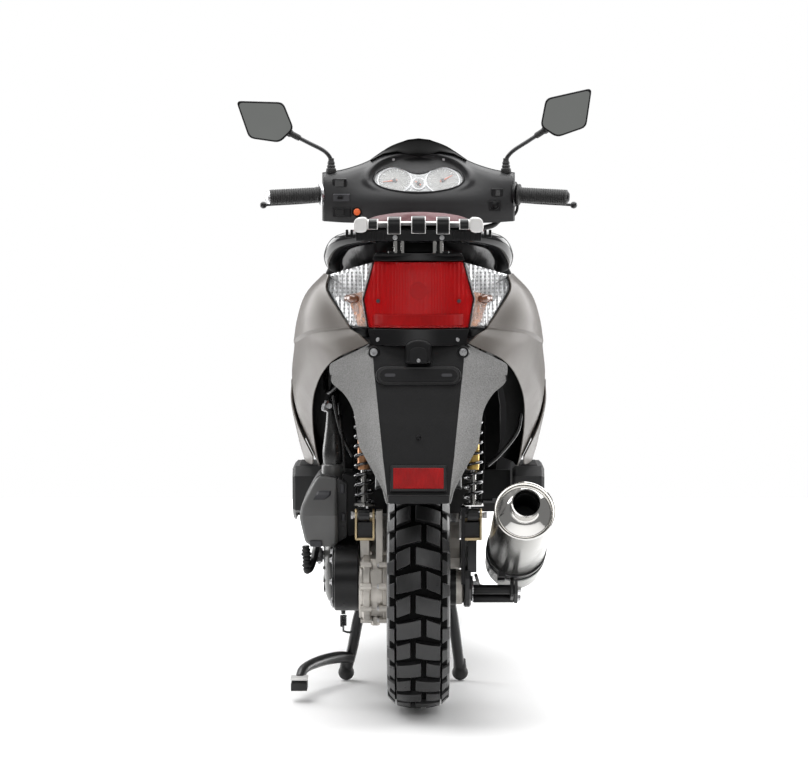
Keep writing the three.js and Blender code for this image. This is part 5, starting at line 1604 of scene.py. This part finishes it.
def kick_lever():
    """The kick lever with its rubber peg folded up."""
    y, z = KICK_PIVOT
    arm = tube(
        [
            (-203, y, z), (-205, y - 52, z + 18), (-206, y - 108, z + 28), (-210, y - 136, z + 10),
            (-217, y - 147, z - 8), (-223, y - 148, z - 12)
        ],
        [11, 8.5, 8, 7.5, 7.5, 8], 20, 60, flat=0.8
    )
    boss = turned(
        [(0.1, -211), (12, -211), (15, -208), (15, -197), (9, -196), (9, -170), (0.1, -170)], at(0, y, z), 40
    )
    make(
        "kick_arm", join(arm, boss, ball((-223, y - 148, z - 12), 8)), STEEL_BLACK, "kick", "kick_lever",
        bevel=0.6
    )
    grooves = [(0.1, 0), (7, 0), (8, 2)]
    for k in range(6):
        swell = 9 + (1.6 if k in (1, 4) else 0)
        grooves += [
            (swell - 1.5, 4 + k * 7.6), (swell, 5.4 + k * 7.6), (swell, 8.4 + k * 7.6),
            (swell - 2.4, 9.8 + k * 7.6)
        ]
    peg = turned(
        grooves + [(8, 51), (7, 54), (0.1, 54)], along((-222, y - 148, z - 16), (-226, y - 150, z + 40)), 28
    )
    make("kick_peg", peg, RUBBER, "kick")
    pinch = turned([(0.1, -9), (4.5, -9), (4.5, 18), (0.1, 18)], at(-203, y, z - 14, turn_z=90), 6)
    make("kick_bolt", pinch, ZINC, "kick", bevel=0.4)


def right_arm():
    """The right swing arm's hangers for the silencer, the axle nut and the brake cable."""
    refinish("swing_arm_right", STEEL_BLACK, 1.2)
    for name, y, z in (("upper", -672, 238), ("lower", -652, 219)):
        sleeve = turned(
            [(6.2, 106), (8.5, 106), (9.5, 109), (9.5, 183), (8.5, 186), (6.2, 186)], at(0, y, z), 32
        )
        make(f"hanger_sleeve_{name}", sleeve, SHEEN_BLACK, "engine")
        ends = [
            turned(
                [(0.1, 0), (9, 0), (9, 1.5), (6.5, 1.5), (6, 7), (0.1, 7.5)], at(x, y, z, turn_z=t),
                6 if x > 150 else 24
            )
            for x, t in ((192, 0), (105, 0))
        ]
        make(f"hanger_bolt_{name}", join(*ends), ZINC, "engine", bevel=0.4)
    nut = turned(
        [(0.1, 104), (17, 104), (18, 106), (13, 107), (12.5, 117), (0.1, 118)], at(0, *REAR_AXLE), 6
    )
    make("axle_nut", nut, ZINC, "engine", bevel=0.6)
    can_tab = prism(rounded([(-690, 228), (-640, 206), (-628, 232), (-676, 262)], 8), 178, 185)
    make("silencer_tab", can_tab, STEEL_BLACK, "engine", bevel=1)
    spacer = turned([(28.3, 53), (35.5, 54), (35.5, 73), (28.3, 74)], at(0, *REAR_AXLE), 64)
    make("axle_spacer", spacer, SHEEN_BLACK, "engine", bevel=0.5)
    cable = tube([(112, -640, 262), (118, -560, 232), (110, -470, 210), (96, -400, 200)], 3.5, 12, 40)
    make("brake_cable", cable, RUBBER, "engine")


def seat_well():
    """The near-black sheets inside the body, which paint shade there, and the ledges under the seat's edge.
    """
    make(
        "seat_well_shade_sheets",
        both(
            prism(rounded([(-560, 470), (-240, 360), (-110, 372), (-110, 600), (-560, 690)], 20), 128, 131)
        ),
        SHADE_BLACK, "frame", bevel=0.8
    )
    make("well_sills", both(box((92, 4, 62), (150, -82, 384))), MATT_BLACK, "frame", bevel=0.8)
    rim_line = [
        (170, -716, 846), (178, -650, 846), (184, -540, 842), (184, -390, 820), (174, -250, 782),
        (156, -140, 734), (128, -66, 696)
    ]
    lip = spline(rim_line, 40)
    ledge = patch([[(x + (92 - x) * t, y, z - 40 * t) for t in (0, 0.35, 0.7, 1)] for x, y, z in lip])
    make("seat_well_ledges", both(ledge), MATT_BLACK, "frame", skin=2.5, away_from=(0, -400, 600))


belt_case()
gearcase()
airbox()
ducts()
seat_well()
kick_lever()
right_arm()

# ---------- Shock absorbers ----------
SHOCK_TOP = Vector((106, -610, 690))
SHOCK_FOOT = Vector((106, -655, 381))
SPRING_TURNS = 13
SPRING_RADIUS = 17
SPRING_WIRE = 3.1


def shocks():
    """Both shock absorbers."""
    length = (SHOCK_FOOT - SHOCK_TOP).length
    # Both damper bodies are gold; the left one takes the redder copy as painted reflection.
    for side, s, look in (("left", -1, GOLD_COPPER_REFLECTION), ("right", 1, GOLD)):
        top, foot = [Vector((s * p.x, p.y, p.z)) for p in (SHOCK_TOP, SHOCK_FOOT)]
        place = along(top, foot)
        fixed, moving = f"shock_body_{side}", f"shock_rod_{side}"
        eye = turned([(7.4, -12), (14, -12), (15, -10), (15, 10), (14, 12), (7.4, 12)], at(*top), 36)
        neck = turned(
            [(0.1, 12), (9, 12), (9, 24), (20, 25), (22, 27), (22, 31), (14, 33), (0.1, 33)], place, 40
        )
        make(f"damper_eye_{side}", join(eye, neck), STEEL_BLACK, fixed, f"shock_upper_{side}", bevel=0.5)
        body = turned(
            [
                (7.6, 32), (12.5, 32), (12.5, 120), (13.4, 121), (13.4, 127), (12.5, 128), (12.5, 216),
                (11.5, 224), (7.6, 224)
            ],
            place, 40
        )
        make(f"damper_body_{side}", body, look, fixed)
        shaft = turned(
            [
                (0.1, 160), (6, 160), (6, length - 24), (18, length - 24), (21, length - 22),
                (21, length - 18), (0.1, length - 17)
            ],
            place, 40
        )
        eye_low = turned([(7.5, -11), (13, -11), (13, 11), (7.5, 11)], at(*foot), 36)
        make(f"damper_foot_{side}", eye_low, STEEL_BLACK, moving, bevel=0.6)
        make(f"damper_rod_{side}", shaft, CHROME, moving, f"shock_lower_{side}")
        x, y, _ = foot
        middle = x - s * 2
        cheeks = [
            prism(
                rounded(
                    [(y - 17, 334), (y + 16, 334), (y + 15, 384), (y + 6, 394), (y - 8, 394), (y - 16, 384)],
                    5
                ),
                e - 2, e + 2
            )
            for e in (middle - 17, middle + 17)
        ]
        floor = box((36, 34, 5), (middle, y, 336))
        web = box((36, 3, 46), (middle, y + 14, 358))
        make(f"damper_bracket_{side}", join(*cheeks, floor, web), GOLD_ZINC, "engine", bevel=0.8)
        filler = prism(
            [(y - 8, 337), (y + 10, 337), (y + 10, 368), (y - 8, 368)], middle - 14.5, middle + 14.5
        )
        make(f"damper_rubber_{side}", filler, STEEL_BLACK, "engine", bevel=1)
        leg = prism(
            rounded([(y - 12, 270), (y + 14, 270), (y + 14, 336), (y - 12, 336)], 4), middle - 9, middle + 9
        )
        make(
            f"damper_stay_{side}", leg, CAST if s < 0 else STEEL_BLACK, "engine", bevel=1.5,
        )
        pin = turned(
            [(0.1, -25), (8, -25), (8, -21), (5.9, -20.5), (5.9, 20), (7, 21), (7, 27), (0.1, 27)],
            at(*foot), 6
        )
        make(f"damper_bolt_{side}", pin, ZINC, "engine", bevel=0.5)
        cap = turned([(r, s * d) for r, d in ((0.1, 14), (9, 14), (9, 17), (6, 22), (0.1, 22))], at(*top), 6)
        make(f"damper_nut_{side}", cap, ZINC, "frame", bevel=0.4)
        start, end = 35, length - 27
        helix = []
        for k in range(SPRING_TURNS * 20 + 1):
            t = k / (SPRING_TURNS * 20)
            a = t * SPRING_TURNS * 2 * math.pi
            helix.append(
                (start + (end - start) * t, SPRING_RADIUS * math.cos(a), SPRING_RADIUS * math.sin(a))
            )
        coil = moved(tube(helix, SPRING_WIRE, 10, smooth=False), place)
        spring = make(f"spring_{side}", coil, SPRING, fixed, f"shock_spring_{side}")
        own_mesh(spring)


shocks()


# ---------- Centre stand ----------
STAND_PIVOT = (-352, 170)


def stand():
    """The centre stand with feet, pedal, pad and return spring."""
    y, z = STAND_PIVOT
    legs = []
    for x, foot in ((-112, (-149, -318, 17)), (64, (86, -318, 17))):
        knee = ((x * 2 + foot[0]) / 3, y + 4, z - 40)
        legs += [
            tube(
                [(x, y, z), knee, ((knee[0] + foot[0]) / 2 + 1, y + 20, 70), foot], [12, 11.5, 11, 10.5], 24,
                40
            )
        ]
    bar = rod((-112, y, z), (72, y, z), 12)
    plates = [
        prism(
            rounded([(y - 14, z - 14), (y + 22, z - 14), (y + 30, z + 8), (y - 10, z + 14)], 5), x - 3, x + 3
        )
        for x in (-112, -44, 30, 64)
    ]
    pedal = tube(
        [(-140, -332, 50), (-165, -356, 54), (-200, -412, 55), (-228, -490, 53), (-236, -548, 43)],
        [13, 14, 13, 11, 9], 24, 50, flat=0.85
    )
    make("stand_frame", join(*legs, bar, pedal, *plates), STEEL_BLACK, "stand", "centre_stand", bevel=0.6)
    feet = [
        join(ball((x, -318, 17), 16.5), rod((x, -318, 26), (x * 0.985, -318, 44), 13.5, 12.5))
        for x in (-149, 86)
    ]
    make("stand_feet", join(*feet), RUBBER, "stand")
    pad = [box((32, 44, 16), (-236, -560, 31))] + [
        box((30, 5, 4), (-236, -560 + d, 40))
        for d in (-16, -8, 0, 8, 16)
    ]
    make("stand_pad", join(*pad), RUBBER, "stand", bevel=1.4)
    # A pale grey top plate on the pad.
    make("stand_pad_plate", box((34, 46, 4), (-236, -560, 46)), PALE_GREY_AND_RIM_HIGHLIGHT, "stand", bevel=1.2)
    helix = [(-154 + 6 * math.cos(k * 0.7), -352 + 6 * math.sin(k * 0.7), 140 - k * 0.32) for k in range(70)]
    hook = tube(
        [(-154, -352, 118), (-154, -352, 108), (-146, -350, 105), (-130, -346, 104)], 2.4, 10, smooth=False
    )
    make("stand_spring", join(tube(helix, 1.4, 8, smooth=False), hook), SPRING, "stand")
    stub = rod((-154, -352, 143), (-154, -352, 166), 4.5, sides=20)
    make("stand_stop", stub, STEEL_BLACK, "engine", bevel=0.6)


stand()


# ---------- Seat ----------
# y, half width, underside, crown: from the nose to the rear
SEAT = [
    (-64, 64, 744, 758), (-82, 92, 744, 782), (-110, 114, 746, 802), (-200, 147, 774, 828),
    (-330, 168, 808, 842), (-412, 171, 826, 860), (-450, 168, 832, 887), (-490, 163, 840, 918),
    (-560, 153, 851, 948), (-630, 134, 862, 963), (-680, 110, 874, 960), (-696, 90, 884, 942)
]


VOXEL = 6
PRESSURE = 4
SWELL_LIMIT = 7


def seat_ring(y, half, under, crown):
    """The cushion's section at y."""
    rise = crown - under
    right = [
        (0, crown), (half * 0.35, crown - rise * 0.01), (half * 0.62, crown - rise * 0.05),
        (half * 0.84, crown - rise * 0.17), (half * 0.96, crown - rise * 0.36), (half, crown - rise * 0.6),
        (half * 0.965, under + rise * 0.16), (half * 0.9, under + 1), (half * 0.5, under), (0, under)
    ]
    return [(x, y, z) for x, z in right] + [(-x, y, z) for x, z in right[-2:0:-1]]


def seat_solid():
    """The cushion before it is puffed up."""
    rows = 72
    skin = lofted([seat_ring(*row) for row in SEAT], rows)
    n = skin.shape[1]
    faces = [
        (i * n + j, i * n + (j + 1) % n, (i + 1) * n + (j + 1) % n, (i + 1) * n + j)
        for i in range(rows) for j in range(n)
    ]
    faces += [tuple(reversed(range(n))), tuple(range(rows * n, (rows + 1) * n))]
    return skin.reshape(-1, 3), faces


def puffed(piece, limit):
    """Swells a closed piece like upholstery, by a pressure cloth run that moves no point past a limit."""
    remesh = piece.modifiers.new("remesh", "REMESH")
    remesh.mode = "VOXEL"
    remesh.voxel_size = VOXEL * MM
    apply_all(piece)
    before = np.array([v.co for v in piece.data.vertices])
    cloth = piece.modifiers.new("cloth", "CLOTH")
    cloth.settings.use_pressure = True
    cloth.settings.uniform_pressure_force = PRESSURE
    cloth.settings.effector_weights.gravity = 0
    scene = bpy.context.scene
    for step in range(1, 21):
        scene.frame_set(step)
    after = np.array(
        [v.co for v in piece.evaluated_get(bpy.context.evaluated_depsgraph_get()).data.vertices]
    )
    piece.modifiers.clear()
    scene.frame_set(1)
    shift = after - before
    size = np.linalg.norm(shift, axis=1)[:, None]
    low = np.clip((before[:, 2:3] - before[:, 2:3].min()) / 0.02, 0, 1)
    kept = before + shift * np.minimum(1, limit * MM / np.maximum(size, 1e-9)) * low
    piece.data.vertices.foreach_set("co", kept.ravel())
    piece.data.update()


def apply_all(piece):
    """Turns a piece's modifiers into plain mesh."""
    shown = piece.evaluated_get(bpy.context.evaluated_depsgraph_get())
    mesh = bpy.data.meshes.new_from_object(shown)
    piece.modifiers.clear()
    piece.data = mesh


def seat():
    """The cushion with its maroon top, black sides, piping and two seams."""
    cushion = make("seat_pad", seat_solid(), VINYL, "seat", "seat_cushion")
    puffed(cushion, SWELL_LIMIT)
    mesh = cushion.data
    stations = SEAT[::-1]
    seam = lambda y: float(
        np.interp(y, [r[0] for r in stations], [r[3] - 0.34 * (r[3] - r[2]) for r in stations])
    )
    mesh.materials.append(VINYL_BLACK)
    for face in mesh.polygons:
        c = face.center / MM
        face.material_index = int(c.z < seam(c.y) or c.y < -684)
        face.use_smooth = True
    cushion.modifiers.new("smooth", "SUBSURF").render_levels = 1
    tree = BVHTree.FromObject(cushion, bpy.context.evaluated_depsgraph_get())

    def snapped(points, out=0.4):
        """The points moved on to the cushion's skin."""
        line = []
        for p in points:
            spot, normal, _, _ = tree.find_nearest(Vector(p) * MM)
            line.append(tuple((spot + normal * out * MM) / MM))
        return line

    half = [
        (float(np.interp(y, [r[0] for r in stations], [r[1] for r in stations])) * 0.97, y, seam(y))
        for y in np.linspace(-76, -686, 50)
    ]
    nose = [(x, -62, seam(-64)) for x in (-40, 0, 40)]
    back = [(x, -698, seam(-694) + 2) for x in (64, 32, 0, -32, -64)]
    loop = nose + half + back + [(-x, y, z) for x, y, z in reversed(half)]
    make("seat_piping", tube(snapped(loop + loop[:1]), 2.1, 8, 420), VINYL_BLACK, "seat")
    for name, y in (("front", -424), ("rear", -506)):
        top = []
        for x in np.linspace(-128, 128, 27):
            hit = tree.ray_cast(Vector((x, y, 1100)) * MM, Vector((0, 0, -1)))[0]
            top.append(tuple(hit / MM))
        make(f"seat_seam_{name}", tube(top, 1.5, 8, 80), VINYL_BLACK, "seat")


seat()

# ---------- Front bodywork ----------
APRON = [
    [(0, 402, 905), (96, 384, 900), (165, 336, 884)],
    [(0, 448, 850), (116, 424, 848), (204, 334, 836)],
    [(0, 492, 760), (132, 460, 760), (232, 338, 760)],
    [(0, 528, 680), (140, 480, 675), (247, 346, 660)],
    [(0, 572, 645), (136, 496, 632), (248, 356, 540)],
    [(0, 598, 618), (118, 528, 600), (226, 370, 372)],
]
LEG_SHIELD = [
    [(0, 256, 905), (91, 298, 905), (165, 322, 880)],
    [(0, 262, 850), (111, 300, 850), (202, 318, 832)],
    [(0, 268, 760), (125, 305, 760), (228, 322, 760)],
    [(0, 290, 620), (134, 318, 620), (243, 335, 620)],
    [(0, 306, 480), (131, 332, 480), (238, 345, 480)],
    [(0, 322, 356), (113, 344, 356), (205, 352, 356)],
]
LAMP = [
    (0, 640), (78, 655), (138, 712), (120, 748), (60, 736), (0, 716), (-60, 736), (-120, 748), (-138, 712),
    (-78, 655)
]


def cut_by(piece, cutter, how):
    """Cuts a piece by a shape, or keeps only what is inside it."""
    tool = make("tool", cutter, MATT_BLACK, "frame")
    change = piece.modifiers.new("cut", "BOOLEAN")
    change.operation = how
    change.object = tool
    change.solver = "EXACT"
    apply_all(piece)
    bpy.data.objects.remove(tool)


def front_bodywork():
    """The apron with its headlamp, the leg shield behind it and the front mudguard."""
    apron = [mirrored_row(row) for row in APRON]
    deeper = lambda d: [[(x, y - d, z) for x, y, z in row] for row in apron]
    inside = (0, 200, 650)
    shell = make(
        "apron", sheet(apron, 48, 64), PAINT, "frame", "front_apron", skin=3, sharp=40, away_from=inside
    )
    cut_by(shell, prism([(x * 1.015, 694 + (z - 694) * 1.04) for x, z in LAMP], 380, 640, "y"), "DIFFERENCE")
    lens = make(
        "headlamp_lens", sheet(apron, 48, 64), CLEAR_LENS, "frame", "headlamp", skin=2.5, sharp=40,
        away_from=inside
    )
    cut_by(lens, prism(LAMP, 380, 640, "y"), "INTERSECT")
    bowl = make(
        "headlamp_bowl", sheet(deeper(22), 48, 64), HEAD_REFLECTOR, "frame", skin=2, sharp=40,
        away_from=inside
    )
    cut_by(bowl, prism(LAMP, 360, 640, "y"), "INTERSECT")
    bulbs = [
        turned(
            [(26, 0), (30, 0), (24, -22), (8, -30), (0.1, -30), (0.1, -27), (7, -27), (20, -20)],
            at(s * 62, 506, 700, turn_z=90), 40
        )
        for s in (-1, 1)
    ]
    make("headlamp_cups", join(*bulbs), CHROME, "frame")
    make(
        "inner_shield", sheet([mirrored_row(row) for row in LEG_SHIELD], 48, 56), MATT_BLACK, "frame",
        "leg_shield", skin=3, sharp=40, away_from=(0, 500, 650)
    )
    a, b = spline([row[-1] for row in APRON], 40), spline([row[-1] for row in LEG_SHIELD], 40)
    seam = patch([[p, (p + q) / 2 + (1, 0, 0), q] for p, q in zip(a, b)])
    make("shield_edges", both(seam), MATT_BLACK, "frame", skin=2.5, away_from=(0, 340, 640))
    ribs = []
    for degrees in np.linspace(25, 170, 7):
        narrow, edge = (0.72, 243) if degrees < 30 or degrees > 160 else (1, 216)
        outline = [(0, 257), (42 * narrow, 254), (68 * narrow, 246), (72 * narrow, edge)]
        ribs.append(wheel_rib(FRONT_AXLE, degrees, outline))
    make(
        "fender", sheet(ribs, 60, 30), PAINT, "fork", "front_fender", skin=3, bevel=0.8, sharp=40,
        away_from=(0, *FRONT_AXLE)
    )


def liner():
    """The inner mudguard over the rear wheel."""
    section = [(0, 318), (54, 316), (76, 312), (81, 307)]
    ribs = [wheel_rib(REAR_AXLE, degrees, section) for degrees in (38, 60, 85, 110, 125, 136)]
    make(
        "wheel_liner", sheet(ribs, 48, 30), SHEEN_BLACK, "frame", "inner_fender", skin=3, sharp=40,
        away_from=(0, *REAR_AXLE)
    )


def floor_mats():
    """Rubber ribs on the floor and on the foot-peg covers."""
    mats = [box((5, 150, 4), (x, 120, 342)) for x in np.linspace(-150, 150, 16)]
    mats += [box((40, 5, 4), (s * 234, y, 424)) for s in (-1, 1) for y in np.linspace(-88, 26, 10)]
    make("floor_ribs", join(*mats), RUBBER, "frame", bevel=1.2)


front_bodywork()
liner()
floor_mats()
for node, look in (
    ("main_frame", STEEL_BLACK), ("steering_stem", STEEL_BLACK), ("fork_lower", STEEL_BLACK),
    ("handlebar", STEEL_BLACK), ("floor_board", DASH_BLACK), ("storage_bucket", MATT_BLACK),
    ("fuel_tank", STEEL_BLACK), ("seat_base", MATT_BLACK), ("brake_disc", ZINC)
):
    refinish(node, look)
